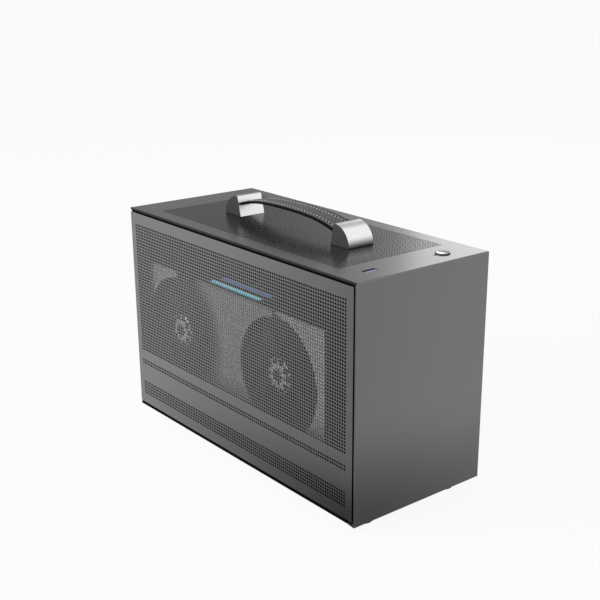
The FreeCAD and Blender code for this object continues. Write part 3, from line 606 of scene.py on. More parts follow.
class CASE_OT_cover(Builder, bpy.types.Operator):
    """Folded cover: mesh top with its three openings, plain front and the flange under the base"""

    bl_idname = "mesh_case.cover"
    bl_label = "Top and front cover"

    FOLD_X = FRONT - 2.5 * MM
    FOLD_STEPS = 10
    INNER_FOLD = 0.3 * MM
    SOCKET_GAP, BUTTON_GAP, LIGHT_HOLE = 0.2 * MM, 0.3 * MM, 1.5 * MM
    # Strips of the folded section that are its cut sides, not its outer or inner face
    CUT_STRIPS = [1, 2, 3, 5, 6, 7]

    def top_face(self, sizes):
        """Flat outer face of the top, split along the line through the button, the light and the socket."""
        points, faces, _ = hole_field(TOP_COLUMNS, TOP_ROWS, sizes.hole_pitch, sizes.hole_diameter / 2,
                                      (TOP_FIELD_X, 0))
        field = len(points) - 4 + np.arange(4)
        rear, side, line = sizes.cover_edge - FRONT, SIDE - sizes.cover_edge, BUTTON[0]
        across, along = ((SOCKET_HIGH - SOCKET_LOW) / 2 + self.SOCKET_GAP)[:2]
        low, high = SOCKET[1] - along, SOCKET[1] + along
        back = [np.array([[line, low], [line - across, low], [line - across, high], [line, high]])]
        ahead = [back[0] * [-1, 1] + [2 * line, 0]]
        button_r = (BUTTON_HIGH[0] - BUTTON_LOW[0]) / 2 + self.BUTTON_GAP
        for y, radius, count in ((LIGHT[1], self.LIGHT_HOLE, 9), (BUTTON[1], button_r, 17)):
            back.append(arc((line, y), radius, 270, 90, count))
            ahead.append(arc((line, y), radius, -90, 90, count))
        back, ahead = np.concatenate(back), np.concatenate(ahead)[::-1]
        corners = np.array([[rear, -side], [line, -side], [self.FOLD_X, -side],
                            [self.FOLD_X, side], [line, side], [rear, side]])
        c = len(points) + np.arange(6)
        b = c[-1] + 1 + np.arange(len(back))
        a = b[-1] + 1 + np.arange(len(ahead))
        flats = [
            np.array([c[0], field[0], field[3], c[5]]),
            np.array([c[0], c[1], field[1], field[0]]),
            np.array([field[3], field[2], c[4], c[5]]),
            np.r_[field[1], c[1], b, c[4], field[2]],
            np.r_[c[1], c[2], c[3], c[4], a],
        ]
        return np.concatenate([points, corners, back, ahead]), faces + [f[None] for f in flats]

    def folded(self, sizes):
        """Chamfered section carried down the front and back under the base, round two quarter folds."""
        t, e = sizes.cover_thickness, sizes.cover_edge
        low, flange = COVER_LOW[2], FRONT - sizes.return_depth
        sides = []
        for skin, radius in ((0, sizes.fold_radius), (t, self.INNER_FOLD)):
            x = FRONT - skin - radius
            start = [[self.FOLD_X, TOP - skin]]
            upper = arc((x, TOP - skin - radius), radius, 90, 0, self.FOLD_STEPS)
            lower = arc((x, low + skin + radius), radius, 0, -90, self.FOLD_STEPS)
            end = [[self.FOLD_X, low + skin], [flange, low + skin]]
            sides.append(np.concatenate([start, upper, lower, end]))
        outer, inner = sides
        half = np.full(len(outer), SIDE)
        half[-1] = SIDE - sizes.return_slant
        depth = np.array([0, 0, e, t - e, t, t, t - e, e])
        hand = np.array([-1, 1, 1, 1, 1, -1, -1, -1])
        trim = np.array([e, e, 0, 0, e, e, 0, 0])
        flat = outer[:, None] + (inner - outer)[:, None] * (depth / t)[None, :, None]
        y = hand * (half[:, None] - trim)
        return sweep(np.stack([flat[..., 0], y, flat[..., 1]], -1), cap_start=False)

    def build(self, sizes, colours):
        points, faces = weld(*self.top_face(sizes))
        low, high = np.array([-FRONT, -SIDE]), np.array([self.FOLD_X, SIDE])
        sheet, skin = plate(points, faces, 0, sizes.cover_thickness, sizes.cover_edge, low, high, folds=True)
        sheet = place_at(sheet, (0, 0, TOP), X, Y)
        bent, folds = self.folded(sizes)
        strips = folds[0].reshape(-1, 8, 4)
        # The cut sides of the folds and flange, the holes' walls and the rim's side and lower chamfer get the
        # near-black painted shade; the rim's upper chamfer gets the frame's black as a painted dark line
        dark = np.r_[:self.FOLD_STEPS - 1, 2 * self.FOLD_STEPS:len(strips)]
        cut = np.zeros(strips.shape[:2], bool)
        cut[dark[:, None], self.CUT_STRIPS] = True
        points, faces = joined([(sheet, skin), (bent, [strips[~cut], strips[cut]] + folds[1:])])
        kinds = [0] * (len(skin) - 4) + [1, 2, 1, 1] + [0, 1] + [0] * (len(folds) - 1)
        put("folded_mesh_cover", points, faces, ["body_paint", "cut_edge", "frame_coat"], "case", "case_grey",
            ["top_front_cover"], kinds=kinds)


class CASE_OT_handle(Builder, bpy.types.Operator):
    """Handle: two quarter-round metal blocks, the arched leather strap and its stitches"""

    bl_idname = "mesh_case.handle"
    bl_label = "Strap handle"

    FLAT_HALF, FLAT_R, END_R = 34.0 * MM, 500.0 * MM, 150.0 * MM
    STRAIGHT_X, STRAP_HALF = 68.6 * MM, 72.0 * MM
    STATIONS, AROUND = 97, 64
    # Powers that round the strap's section: lower is squarer
    WIDTH_POWER, HEIGHT_POWER = 0.55, 0.5
    SWELL, DIP, DIP_WIDTH, EDGE_PAINT = 0.4 * MM, 0.25 * MM, 0.8 * MM, 2.6 * MM
    STITCHED, STITCH_SHIFT, STITCH_SINK = 118.0 * MM, 1.5 * MM, 0.56 * MM
    BEAD_LENGTH, BEAD_WIDTH, BEAD_HEIGHT = 0.8 * MM, 0.65 * MM, 0.5 * MM
    BLOCK_EDGE, CREST_BACK, CREST_DROP = 0.5 * MM, 0.5 * MM, 0.35 * MM

    def strap_line(self, sizes, x):
        """Height and slope of the strap at x: a flat arc in the middle, then a tighter one, then straight."""
        crown = TOP + sizes.strap_crown
        away = np.abs(x)
        slope = math.asin(self.FLAT_HALF / self.FLAT_R)
        joint = crown - self.FLAT_R * (1 - math.cos(slope))
        end_x, end_z = self.FLAT_HALF - self.END_R * math.sin(slope), joint - self.END_R * math.cos(slope)
        flat_x = np.minimum(away, self.FLAT_HALF)
        flat = crown - self.FLAT_R + np.sqrt(self.FLAT_R ** 2 - flat_x ** 2)
        bent_x = np.clip(away, self.FLAT_HALF, self.STRAIGHT_X) - end_x
        bent = end_z + np.sqrt(self.END_R ** 2 - bent_x ** 2)
        on_flat = away < self.FLAT_HALF
        angle = np.where(on_flat, np.arcsin(flat_x / self.FLAT_R), np.arcsin(bent_x / self.END_R))
        height = np.where(on_flat, flat, bent) - np.tan(angle) * np.maximum(away - self.STRAIGHT_X, 0)
        return height, np.sign(x) * angle

    def strap(self, sizes):
        """Band with round edges, its upper face swelling between the stitch rows and dipping at them."""
        x = np.linspace(-self.STRAP_HALF, self.STRAP_HALF, self.STATIONS)
        height, angle = self.strap_line(sizes, x)
        phase = 2 * np.pi * np.arange(self.AROUND) / self.AROUND
        half_w, half_t = sizes.strap_width / 2, sizes.strap_thickness / 2
        y = half_w * np.sign(np.cos(phase)) * np.abs(np.cos(phase)) ** self.WIDTH_POWER
        rise = half_t * np.sign(np.sin(phase)) * np.abs(np.sin(phase)) ** self.HEIGHT_POWER
        swell = -self.SWELL * np.clip((y / sizes.stitch_row) ** 2, 0, 1)
        dip = self.DIP * np.exp(-((np.abs(y) - sizes.stitch_row) / self.DIP_WIDTH) ** 2)
        rise = rise + np.where(np.sin(phase) > 0, swell - dip, 0)
        ring_x = x[:, None] + np.sin(angle)[:, None] * rise
        ring_z = height[:, None] + np.cos(angle)[:, None] * rise
        rings = np.stack([ring_x, np.broadcast_to(y, ring_x.shape), ring_z], -1)
        points, faces = sweep(rings[:, ::-1])
        side = np.abs(y[::-1]) > half_w - self.EDGE_PAINT
        painted = side & np.roll(side, -1)
        skin = faces[0].reshape(len(x) - 1, len(y), 4)
        return points, [skin[:, ~painted].reshape(-1, 4), skin[:, painted].reshape(-1, 4)] + faces[1:]

    def stitches(self, sizes):
        """Two rows of thread beads: long rounded grains along the strap, half sunk in its upper face."""
        count = int(self.STITCHED / sizes.stitch_pitch) + 1
        x = (np.arange(count) - (count - 1) / 2) * sizes.stitch_pitch + self.STITCH_SHIFT
        x, hand = np.tile(x, 2), np.repeat([-1, 1], count)
        height, angle = self.strap_line(sizes, x)
        along = np.array([-1, -0.8, -0.3, 0.3, 0.8, 1])[:, None]
        girth = np.array([0.3, 0.75, 1, 1, 0.75, 0.3])[:, None]
        phase = 2 * np.pi * np.arange(8) / 8
        s = np.broadcast_to(along * self.BEAD_LENGTH, (len(along), len(phase)))
        side, up = self.BEAD_WIDTH * girth * np.cos(phase), self.BEAD_HEIGHT * girth * np.sin(phase)
        lift = sizes.strap_thickness / 2 - self.STITCH_SINK + up[None]
        cos, sin = np.cos(angle)[:, None, None], np.sin(angle)[:, None, None]
        px = x[:, None, None] + cos * s + sin * lift
        pz = height[:, None, None] - sin * s + cos * lift
        py = hand[:, None, None] * sizes.stitch_row + np.broadcast_to(side, px.shape)
        return joined([sweep(bead) for bead in np.stack([px, py, pz], -1)[:, :, ::-1]])

    def build(self, sizes, colours):
        radius, half, edge = sizes.block_radius, BLOCK_HIGH[1], self.BLOCK_EDGE
        inner, crest = BLOCK_LOW[0], BLOCK_HIGH[0] - radius
        curve = arc((crest, 0), radius, 0, 88, 28)
        loop = np.concatenate([[[inner, 0]], curve, [[crest - self.CREST_BACK, radius - self.CREST_DROP]]])
        soft = inset(loop, edge)
        levels = ((soft, -half), (loop, edge - half), (loop, half - edge), (soft, half))
        rings = np.stack([np.insert(ring, 1, y, axis=1) for ring, y in levels])
        around = len(loop)
        for name, flip in (("front", 1), ("rear", -1)):
            solid = rings * [flip, 1, 1] + [0, 0, TOP]
            points, faces = sweep(solid if flip > 0 else solid[:, ::-1])
            band = faces[0][around:2 * around]
            # The strip at the foot of each block's curve gets the dark grey as a painted shadow line
            foot = np.arange(around) == (1 if flip > 0 else around - 3)
            faces = [faces[0][:around], band[~foot], band[foot], faces[0][2 * around:]] + faces[1:]
            put(f"{name}_handle_end", points, faces, ["brushed_handle", "handle_cheek"], "case",
                "handle_metal", [f"{name}_handle_block"], kinds=(1, 0, 1, 1, 1, 1))
        put("leather_strap", *self.strap(sizes), ["pebbled_leather", "strap_edge"], "case", "strap_leather",
            ["handle_strap"], sharp=60.0, kinds=(0, 1, 0, 0))
        put("strap_stitches", *self.stitches(sizes), ["strap_thread"], "case", "strap_leather", sharp=80.0)


class CASE_OT_controls(Builder, bpy.types.Operator):
    """Dished power button, the round lens of its light and the socket's tongue"""

    bl_idname = "mesh_case.controls"
    bl_label = "Button, light and socket"

    AROUND, RIM_STEPS, RIM_R, SKIRT = 64, 6, 0.3 * MM, -5.0 * MM
    DISH_RIM, DISH_FLOOR, DISH_RISE = 0.9 * MM, 0.75 * MM, 0.7 * MM
    LENS_R, LENS_SINK, DOME_R, DOME_DROP = 0.95 * MM, 1.4 * MM, 1.05 * MM, 0.35 * MM
    BASE_HEIGHT, BASE_EDGE = 5.0 * MM, 0.1 * MM
    TONGUE_DEPTH, TONGUE_INSET, TONGUE_SINK, TONGUE_EDGE = 3.0 * MM, 0.3 * MM, 0.25 * MM, 0.2 * MM
    TONGUE_CLEAR = 0.1 * MM

    def bar(self, low, high, thickness, edge):
        """Upright bar over the rectangle from low to high (x, y), its top at high z."""
        loop = np.array([[low[0], low[1]], [high[0], low[1]], [high[0], high[1]], [low[0], high[1]]])
        points, faces = slab(loop, thickness, edge)
        return points + [0, 0, high[2]], faces

    def build(self, sizes, colours):
        radius, rise = (BUTTON_HIGH[0] - BUTTON_LOW[0]) / 2, BUTTON_HIGH[2] - TOP
        dish = np.linspace(1, 0, 10)
        bowl_z = rise - self.DISH_FLOOR + self.DISH_RISE * dish ** 2
        bowl = np.stack([dish * (radius - self.DISH_RIM), bowl_z], -1)
        rim = arc((radius - self.RIM_R, rise - self.RIM_R), self.RIM_R, 0, 80, self.RIM_STEPS)
        points, faces = lathe([(0, self.SKIRT), (radius, self.SKIRT), *rim, *bowl], self.AROUND)
        # The skirt and the rounded rim take the dark plastic: painted shade on the button's side wall
        ring = (self.RIM_STEPS + 1) * self.AROUND
        faces = [faces[0][:ring], faces[0][ring:]] + faces[1:]
        put("button_cap", place_at(points, (BUTTON[0], BUTTON[1], TOP), X, Y), faces,
            ["satin_button", "matt_plastic"], "power_cap", "button_metal", ["power_button"], sharp=40.0,
            kinds=(1, 0, 1, 0))
        dome = arc((0, -self.DOME_DROP), self.DOME_R, 20, 90, 8)
        seat = TOP - self.LENS_SINK
        depth = LIGHT_LOW[2] - seat
        points, faces = lathe([(0, depth), (self.LENS_R, depth), *dome], 24)
        put("light_pipe", place_at(points, (LIGHT[0], LIGHT[1], seat), X, Y), faces, ["clear_lens"], "case",
            "light_lens", ["power_light"], sharp=50.0)
        low, high = corners_of("usb_tongue")
        base_top, tip = low[2] + self.BASE_HEIGHT, TOP - self.TONGUE_SINK
        base = self.bar(low, [high[0], high[1], base_top], self.BASE_HEIGHT, self.BASE_EDGE)
        tongue = self.bar([high[0] - self.TONGUE_DEPTH, low[1] + self.TONGUE_INSET],
                          [high[0], high[1] - self.TONGUE_INSET, tip], tip - self.TONGUE_CLEAR - low[2],
                          self.TONGUE_EDGE)
        put("socket_tongue", *joined([base, tongue]), ["blue_tongue"], "case", "socket_blue", ["usb_tongue"])


class CASE_OT_feet(Builder, bpy.types.Operator):
    """Round rubber feet with a soft lower edge and a hollow under each"""

    bl_idname = "mesh_case.feet"
    bl_label = "Feet"

    SOFT = 1.2 * MM
    # Hollow under a foot, from its middle out to the floor: radius and height
    HOLLOW = ((0, 1.6 * MM), (4 * MM, 1.6 * MM), (5 * MM, 0.4 * MM), (5.4 * MM, 0))

    def build(self, sizes, colours):
        for name in FEET:
            low, high = corners_of(name)
            radius, middle = (high[0] - low[0]) / 2, (low + high) / 2
            soft = arc((radius - self.SOFT, self.SOFT), self.SOFT, -90, 0, 9)
            points, faces = lathe([*self.HOLLOW, *soft, (radius, high[2]), (0, high[2])], 56)
            put(f"{name}_pad", points + [middle[0], middle[1], 0], faces, ["soft_rubber"], "case",
                "foot_rubber", [name], sharp=45.0)


class CASE_OT_card(Builder, bpy.types.Operator):
    """Graphics card: silver face plates, fan rings, curved fan wheels and faceted hub caps"""

    bl_idname = "mesh_case.card"
    bl_label = "Graphics card"

    BLADES, HUB_R, HUB_DEPTH, SHOULDER, ROOT_R = 9, 20.0 * MM, 11.0 * MM, 1.5 * MM, 19.5 * MM
    # Half spread of a blade at its root, what it loses to the tip, its sweep and the sweep's power
    SPREAD, SPREAD_LOSS, SWEEP, SWEEP_POWER = 0.36, 0.07, 0.42, 1.4
    LEAN, LEAN_LOSS, CAMBER, BLADE_HALF = 4.3 * MM, 1.0 * MM, 1.1 * MM, 0.55 * MM
    CAP_R, CAP_SIDES, CAP_WAVE, CAP_LOBES, TIP_GAP = 17.0 * MM, 10, 0.05, 5, 1.5 * MM
    # Rings of the cap: height in millimetres, share of its radius and turn in steps
    CAP_RINGS = ((0, 1.0, 0.0), (0.9, 0.86, 0.5), (1.7, 0.55, 0.0), (2.1, 0.24, 0.5))
    RING_IN, RING_OUT, RING_LIFT = 0.6 * MM, 0.9 * MM, 0.2 * MM
    PLATE_T, PLATE_EDGE, PLATE_INSET = 1.6 * MM, 0.4 * MM, 0.6 * MM
    PLATE_GAP, END_GAP = 1.2 * MM, 4.2 * MM
    BAFFLE_X, BAFFLE_Y = (0.1 * MM, 0.7 * MM), (3 * MM, 17 * MM)
    # The silver at two brightnesses; the darker copy, on the plate round the rear fan, is painted shade like
    # the plates' fades
    DISHED_SHADE, PLAIN_SHADE = 0.62, 0.85

    def wheel(self, radius):
        """Hub with a rounded shoulder, and swept blades whose section is a thin twisted oval."""
        shoulder = arc((self.HUB_R - self.SHOULDER, -self.SHOULDER), self.SHOULDER, 0, 90, 5)
        hub = lathe([(0, -self.HUB_DEPTH), (self.HUB_R, -self.HUB_DEPTH), *shoulder, (0, 0)], 48)
        s = np.linspace(0, 1, 8)[:, None]
        phase = 2 * np.pi * np.arange(14) / 14
        chord, side = np.cos(phase), np.sin(phase)
        reach = self.ROOT_R + (radius - self.ROOT_R) * s
        spread = (self.SPREAD - self.SPREAD_LOSS * s) * chord + self.SWEEP * s ** self.SWEEP_POWER
        axial = -self.HUB_DEPTH / 2 + (self.LEAN - self.LEAN_LOSS * s) * chord
        axial = axial + self.CAMBER * (1 - chord ** 2) + self.BLADE_HALF * side
        bases = 2 * np.pi * np.arange(self.BLADES) / self.BLADES
        angle = bases[:, None, None] + spread[None]
        axial = np.broadcast_to(axial, angle.shape)
        blades = np.stack([reach * np.cos(angle), reach * np.sin(angle), axial], -1)
        return joined([hub] + [sweep(blade[:, ::-1]) for blade in blades])

    def cap(self):
        """Cut-glass cap: four rings of corners, every other ring turned by half a step, with flat facets."""
        count = self.CAP_SIDES
        rings = []
        for height, share, shift in self.CAP_RINGS:
            turn = 2 * np.pi * (np.arange(count) + shift) / count
            wave = self.CAP_R * share * (1 + self.CAP_WAVE * np.cos(self.CAP_LOBES * turn))
            level = np.full(count, height * MM)
            rings.append(np.stack([wave * np.cos(turn), wave * np.sin(turn), level], -1))
        at = np.arange(4 * count).reshape(4, count)
        faces = [at[:1, ::-1], at[3:]]
        for ring, (low, high) in enumerate(zip(at[:-1], at[1:])):
            lead = np.roll(low, -1), np.roll(high, -1)
            if ring % 2 == 0:
                faces += [np.stack([low, lead[0], high], -1), np.stack([lead[0], lead[1], high], -1)]
            else:
                faces += [np.stack([low, lead[1], high], -1), np.stack([low, lead[0], lead[1]], -1)]
        return np.concatenate(rings), faces

    def fans(self, opening):
        """Wheel, cap and ring of both fans; gives the middles (x, z) of the rear and the front one."""
        inner, outer = opening - self.RING_IN, opening + self.RING_OUT
        bead = arc(((inner + outer) / 2, self.RING_LIFT), (outer - inner) / 2, 0, 180, 9)
        middles = []
        for side in ("rear", "front"):
            low, high = corners_of(f"card_{side}_fan")
            x, _, z = (low + high) / 2
            middles.append((x, z))
            points, faces = self.wheel(opening - self.TIP_GAP)
            put(f"{side}_fan_wheel", place_at(points, (x, low[1], z), X, Z), faces, ["blade_plastic"],
                f"{side}_fan", "fan_plastic", [f"card_{side}_fan"], sharp=45.0)
            points, faces = self.cap()
            # Every other facet takes the dark plastic: painted dark reflections beside the painted glints
            put(f"{side}_hub_facets", place_at(points, (x, low[1], z), X, Z), faces,
                ["hub_chrome", "blade_plastic"], f"{side}_fan", "cap_chrome", [f"{side}_fan_cap"], sharp=2.0,
                kinds=(0, 1, 0, 1, 0, 1, 0, 1))
            points, faces = hoop(np.concatenate([[[outer, 0]], bead, [[inner, 0]]]), 96)
            put(f"{side}_fan_ring", place_at(points, (x, CARD_LOW[1], z), X, Z), faces, ["ring_grey"], "case",
                "fan_plastic", sharp=50.0)
        return middles

    def build(self, sizes, colours):
        opening, face = sizes.fan_opening, CARD_LOW[1]
        rear, front = self.fans(opening)
        low, high = CARD_LOW[2] + self.PLATE_INSET, CARD_HIGH[2] - self.PLATE_INSET
        far, back = CARD_HIGH[0] - self.PLATE_INSET, CARD_LOW[0] + self.PLATE_INSET
        bulge = arc(rear, opening + self.PLATE_GAP, -52, 52, 40)
        notch = arc(front, opening + self.PLATE_GAP, 94, 232, 48)
        end = arc(front, opening + self.END_GAP, -70, 90, 56)
        crook = arc(rear, opening + self.PLATE_GAP, 92, 165, 32)
        centre = np.concatenate([[[bulge[0, 0], low], [notch[-1, 0], low]], notch[::-1],
                                 [[notch[0, 0], high], [bulge[-1, 0], high]], bulge[::-1]])
        tip = np.concatenate([[[end[0, 0], low], [far, low], [far, high], [end[-1, 0], high]], end[::-1]])
        corner = np.concatenate([[[crook[0, 0], high], [back, high], [back, crook[-1, 1]]], crook[::-1]])
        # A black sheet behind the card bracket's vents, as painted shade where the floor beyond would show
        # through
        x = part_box("card_bracket")[1][0]
        baffle = block((x + self.BAFFLE_X[0], face + self.BAFFLE_Y[0], low),
                       (x + self.BAFFLE_X[1], face + self.BAFFLE_Y[1], high))
        put("bracket_baffle", *baffle, ["matt_plastic"], "case", "black_plastic")
        shaded_plate("dished_silver", shade(colours.silver, self.DISHED_SHADE)[:3], low, rear)
        shaded_plate("plain_silver", shade(colours.silver, self.PLAIN_SHADE)[:3], low)
        for name, loop, look in (("card_centre_plate", centre, "dished_silver"),
                                 ("card_end_plate", tip, "plain_silver"),
                                 ("card_corner_plate", corner, "plain_silver")):
            points, faces = slab(loop, self.PLATE_T, self.PLATE_EDGE)
            world = place_at(points, (0, face - self.PLATE_T, 0), X, Z)
            put(name, world, faces, [look], "case", "card_silver")


class CASE_OT_screws(Builder, bpy.types.Operator):
    """Pan-head screws of the rear panel and the card's bracket, and strips that close the panel's sides"""

    bl_idname = "mesh_case.screws"
    bl_label = "Rear screws and strips"

    # Profile of a screw's head: radius and height in millimetres
    HEAD = ((0, 0), (3.0, 0), (3.0, 0.9), (2.5, 1.6), (1.5, 2.0), (1.2, 1.9), (0.9, 0.8), (0, 0.6))
    INSET_Y, INSET_Z = 6.0 * MM, 5.5 * MM
    BRACKET_Y, BRACKET_DROP = (-36.0 * MM, -51.0 * MM), 3.6 * MM
    STRIP_X, STRIP_IN, STRIP_OUT = (0.2 * MM, 5.0 * MM), 0.1 * MM, 0.9 * MM
    TAB_BACK, TAB_GAP, TAB_Z = 0.4 * MM, 0.05 * MM, (TOP - 3.9 * MM, TOP - 2.1 * MM)

    def build(self, sizes, colours):
        low, high = corners_of("rear_panel")
        points, faces = lathe(np.array(self.HEAD) * MM, 24)
        places = [(y, z) for z in (low[2] + self.INSET_Z, high[2] - self.INSET_Z)
                  for y in (low[1] + self.INSET_Y, high[1] - self.INSET_Y)]
        places += [(y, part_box("card_bracket")[1][2] - self.BRACKET_DROP) for y in self.BRACKET_Y]
        heads = [(place_at(points, (low[0], y, z), -Y, Z), faces) for y, z in places]
        put("rear_screws", *joined(heads), ["zinc_plate"], "case", "zinc_steel", sharp=35.0)
        foot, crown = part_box("base_plate")[1][2] + MM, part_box("left_top_rail")[0][2] - MM
        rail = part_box("right_top_rail")[1][1] + self.TAB_GAP
        inner, outer = high[1] + self.STRIP_IN, SIDE - self.STRIP_OUT
        for name, strip_y, tab_y in (("left", (-outer, -inner), (-outer, -rail)),
                                     ("right", (inner, outer), (rail, outer))):
            strip = block((low[0] + self.STRIP_X[0], strip_y[0], foot),
                          (low[0] + self.STRIP_X[1], strip_y[1], crown))
            # The tab is a near-black piece set into the gap under the top by the rear corner, as painted
            # shade
            tab = block((self.TAB_BACK - FRONT, tab_y[0], self.TAB_Z[0]),
                        (low[0], tab_y[1], self.TAB_Z[1]))
            put(f"{name}_edge_strip", *joined([strip, tab]), ["deep_coat"], "case", "frame_black")


class CASE_OT_finishes(Builder, bpy.types.Operator):
    """Gives each frame node that still shows the finish of its record slot"""

    bl_idname = "mesh_case.finishes"
    bl_label = "Frame finishes"

    BY_SLOT = {
        "case_grey": "body_paint", "frame_black": "frame_coat", "foot_rubber": "soft_rubber",
        "handle_metal": "brushed_handle", "strap_leather": "pebbled_leather", "zinc_steel": "zinc_plate",
        "standoff_brass": "turned_brass", "button_metal": "satin_button", "light_lens": "clear_lens",
        "socket_blue": "blue_tongue", "circuit_black": "circuit_mask", "black_plastic": "matt_plastic",
        "fan_plastic": "blade_plastic", "card_silver": "shroud_black", "fin_aluminium": "fin_metal",
        "cap_chrome": "hub_chrome", "bright_bar": "bright_glow", "dim_bar": "dim_glow",
    }

    # The base and the top rails take the darker copy of the frame's black as painted shade
    BY_NODE = {"usb_shell": "socket_steel", "riser_bracket": "frame_coat", "base_plate": "deep_coat",
               "left_top_rail": "deep_coat", "right_top_rail": "deep_coat"}

    def build(self, sizes, colours):
        for row in frame["record"]["subparts"]:
            look = self.BY_NODE.get(row["node"], self.BY_SLOT[row["material_slot"]])
            for place in frame["nodes"][row["node"]].material_slots:
                place.material = bpy.data.materials[look]


class CASE_OT_stage(bpy.types.Operator):
    """Pale floor, soft studio light and the camera"""

    bl_idname = "mesh_case.stage"
    bl_label = "Stage"

    FLOOR_HALF, FLOOR_ROUGH, FLOOR_GLOW = 40.0, 0.9, 0.93
    # Under the case the floor keeps its own shadow: where that patch starts and stops to fade
    SHADOW_X, SHADOW_Y = (0.12, 0.145), (0.036, 0.05)
    WORLD_LIGHT, WORLD_SEEN = (0.35, 0.35, 0.35, 1), (0.975, 0.975, 0.975, 1)
    # Lamps: name, place, target, size and power
    LAMPS = (
        ("key", (-0.7, -1.9, 1.0), (0, 0, 0.12), (1.4, 1.4), 45),
        ("rim", (-0.76, 1.68, 0.8), (0.1, 0, 0.2), (1.2, 0.8), 3.8),
    )
    FLAG_HALF, FLAG_RISE, FLAG_TINT = 2, 0.0005, (0.01, 0.01, 0.01, 1)
    BACK_FLAG = ((-2.6, -0.4, 0.02), (-0.8, 1.45, 0.02), (-0.8, 1.45, 1.2), (-2.6, -0.4, 1.2))
    HIGH_FLAG = ((-1.5, 0.9, 0.7), (0.2, 0.9, 0.7), (0.2, 0.9, 1.7), (-1.5, 0.9, 1.7))
    # How much the flags cover, how the floor's one grows, and where each fade starts and ends
    FLOOR_COVER, FRONT_LOSS, LEFT_LOSS, PATCH_COVER = 0.95, 0.23, 0.46, 0.14
    BACK_COVER, HIGH_COVER = 0.62, 0.5
    GROWTH, GROWTH_START, FADE_LEAN = 2.9, 0.12, 0.25
    AHEAD_FADE, FRONT_FADE, LEFT_FADE = (0.16, 0.36), (0.14, 0.17), (0.09, 0.17)
    PATCH_START, PATCH_SIDE = (0.2, 0.3), (-0.3, -0.1)
    BACK_FADE, HIGH_REAR, HIGH_FRONT, HIGH_FOOT = (0.9, 1.4), (-1.4, -0.9), (-0.25, 0.05), (0.72, 0.95)
    SENSOR, LENS, SHIFT = 36.0, 63.917, (-0.03437, 0.03951)
    CAMERA_AT, CAMERA_TO = (0.7434, -0.5826, 0.4475), (0.0361, 0.0, 0.134)

    def sheet(self, name, corners, material):
        """One four-sided face."""
        mesh = bpy.data.meshes.new(name)
        mesh.from_pydata(corners, [], [[0, 1, 2, 3]])
        mesh.materials.append(material)
        piece = bpy.data.objects.new(name, mesh)
        bpy.context.scene.collection.objects.link(piece)
        return piece

    def floor(self, tint):
        """Matt floor that looks white to the rays that show the background, apart from under the case."""
        material, wire, shader = new_material("pale_floor")
        feed(shader, "Base Color", shade(tint, 1))
        feed(shader, "Roughness", self.FLOOR_ROUGH)
        x, y, _ = wire.axes()
        under = (1 - abs(x).smooth(*self.SHADOW_X)) * (1 - abs(y).smooth(*self.SHADOW_Y))
        seen = self.seen(wire) * (1 - under)
        glow = wire.node("ShaderNodeEmission", None, {"Color": (1, 1, 1, 1), "Strength": 1.0})
        matt = Wire(wire.tree, shader.outputs[0])
        mixed = wire.node("ShaderNodeMixShader", None, {0: seen * self.FLOOR_GLOW, 1: matt, 2: glow})
        feed(first_node(wire.tree, "OUTPUT_MATERIAL"), "Surface", mixed)
        corners = self.FLOOR_HALF * np.insert(SQUARE, 2, 0, axis=1)
        ground = self.sheet("floor", corners.tolist(), material)

    def seen(self, wire):
        """1 for rays that show the background: camera, glossy and transmission rays."""
        path = wire.tree.nodes.new("ShaderNodeLightPath")
        camera, glossy, through = (Wire(wire.tree, path.outputs[k]) for k in
                                   ("Is Camera Ray", "Is Glossy Ray", "Is Transmission Ray"))
        return camera.math("MAXIMUM", camera, camera.math("MAXIMUM", glossy, through))

    def flag(self, name, corners, opacity):
        """Soft dark card that only reflections see: opacity gives its cover from the wires of x, y and z."""
        material, wire, shader = new_material(name)
        feed(shader, "Base Color", self.FLAG_TINT)
        feed(shader, "Specular IOR Level", 0.0)
        feed(shader, "Alpha", opacity(*wire.axes()))
        card = self.sheet(name, corners, material)
        card.visible_camera = card.visible_diffuse = card.visible_shadow = False

    def floor_cover(self, x, y, z):
        """Grows towards the front left, thins past the case's sides there, and has a faint patch ahead."""
        growth = ((x - y + self.GROWTH_START) * self.GROWTH).clamped()
        near = growth * (1 - (x + y * self.FADE_LEAN).smooth(*self.AHEAD_FADE))
        thinner = x.smooth(*self.FRONT_FADE) * self.FRONT_LOSS
        depth = self.FLOOR_COVER - thinner - (0 - y).smooth(*self.LEFT_FADE) * self.LEFT_LOSS
        patch = x.smooth(*self.PATCH_START) * (1 - (y - x).smooth(*self.PATCH_SIDE)) * self.PATCH_COVER
        return near * depth + patch

    def back_cover(self, x, y, z):
        """Even up to its far end, where it fades out."""
        return (1 - y.smooth(*self.BACK_FADE)) * self.BACK_COVER

    def high_cover(self, x, y, z):
        """Fades out at both ends and at its foot."""
        ends = x.smooth(*self.HIGH_REAR) * (1 - x.smooth(*self.HIGH_FRONT))
        return ends * z.smooth(*self.HIGH_FOOT) * self.HIGH_COVER

    def aim(self, item, place, target):
        """Puts a lamp or camera at a place, facing a target, and links it to the scene."""
        item.location = place
        item.rotation_euler = (Vector(target) - Vector(place)).to_track_quat("-Z", "Y").to_euler()
        bpy.context.scene.collection.objects.link(item)

    def lamp(self, name, place, target, size, power):
        data = bpy.data.lights.new(name, "AREA")
        data.shape = "RECTANGLE"
        data.size, data.size_y = size
        data.energy = power
        self.aim(bpy.data.objects.new(name, data), place, target)

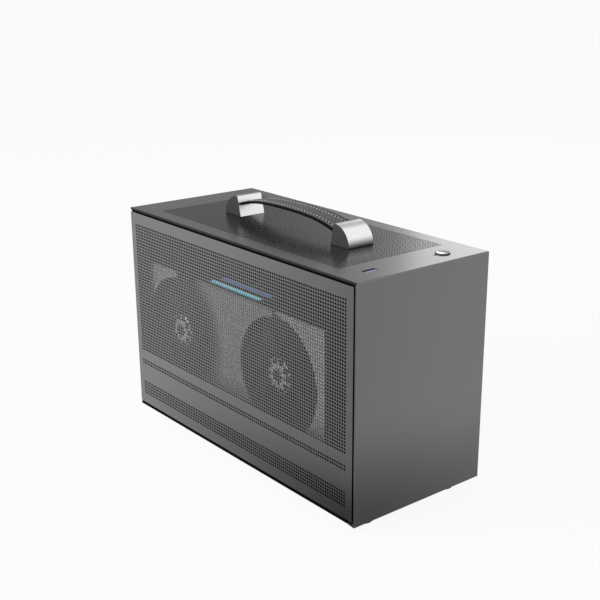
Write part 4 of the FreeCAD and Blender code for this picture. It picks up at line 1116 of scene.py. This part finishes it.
    def execute(self, context):
        scene = context.scene
        self.floor(scene.case_colours.floor)
        world = bpy.data.worlds.new("studio")
        world.use_nodes = True
        scene.world = world
        back = first_node(world.node_tree, "BACKGROUND")
        feed(back, "Color", self.seen(Wire(world.node_tree)).blend(self.WORLD_LIGHT, self.WORLD_SEEN))
        for row in self.LAMPS:
            self.lamp(*row)
        level = [(self.FLAG_HALF * u, self.FLAG_HALF * v, self.FLAG_RISE) for u, v in SQUARE]
        self.flag("floor_flag", level, self.floor_cover)
        self.flag("back_flag", self.BACK_FLAG, self.back_cover)
        self.flag("high_flag", self.HIGH_FLAG, self.high_cover)
        data = bpy.data.cameras.new("view")
        data.sensor_width, data.lens = self.SENSOR, self.LENS
        data.shift_x, data.shift_y = self.SHIFT
        camera = bpy.data.objects.new("view", data)
        self.aim(camera, self.CAMERA_AT, self.CAMERA_TO)
        scene.camera = camera
        scene.view_settings.view_transform = "Standard"
        return {"FINISHED"}


OPERATORS = (CASE_OT_panels, CASE_OT_cover, CASE_OT_handle, CASE_OT_controls, CASE_OT_feet, CASE_OT_card,
             CASE_OT_screws, CASE_OT_finishes, CASE_OT_stage)


class CASE_PT_sidebar(bpy.types.Panel):
    """Lists the pieces of the case and the stage"""

    bl_idname = "CASE_PT_sidebar"
    bl_label = "Mesh-sided case"
    bl_space_type = "VIEW_3D"
    bl_region_type = "UI"
    bl_category = "Case"

    def draw(self, context):
        for operator in OPERATORS:
            self.layout.operator(operator.bl_idname)


CLASSES = (CASE_PG_sizes, CASE_PG_colours) + OPERATORS + (CASE_PT_sidebar,)


def register():
    for item in CLASSES:
        bpy.utils.register_class(item)
    bpy.types.Scene.case_sizes = bpy.props.PointerProperty(type=CASE_PG_sizes)
    bpy.types.Scene.case_colours = bpy.props.PointerProperty(type=CASE_PG_colours)


def unregister():
    del bpy.types.Scene.case_sizes
    del bpy.types.Scene.case_colours
    for item in reversed(CLASSES):
        bpy.utils.unregister_class(item)


def main():
    register()
    for operator in OPERATORS:
        family, name = operator.bl_idname.split(".")
        getattr(getattr(bpy.ops, family), name)()


if __name__ == "__main__":
    main()
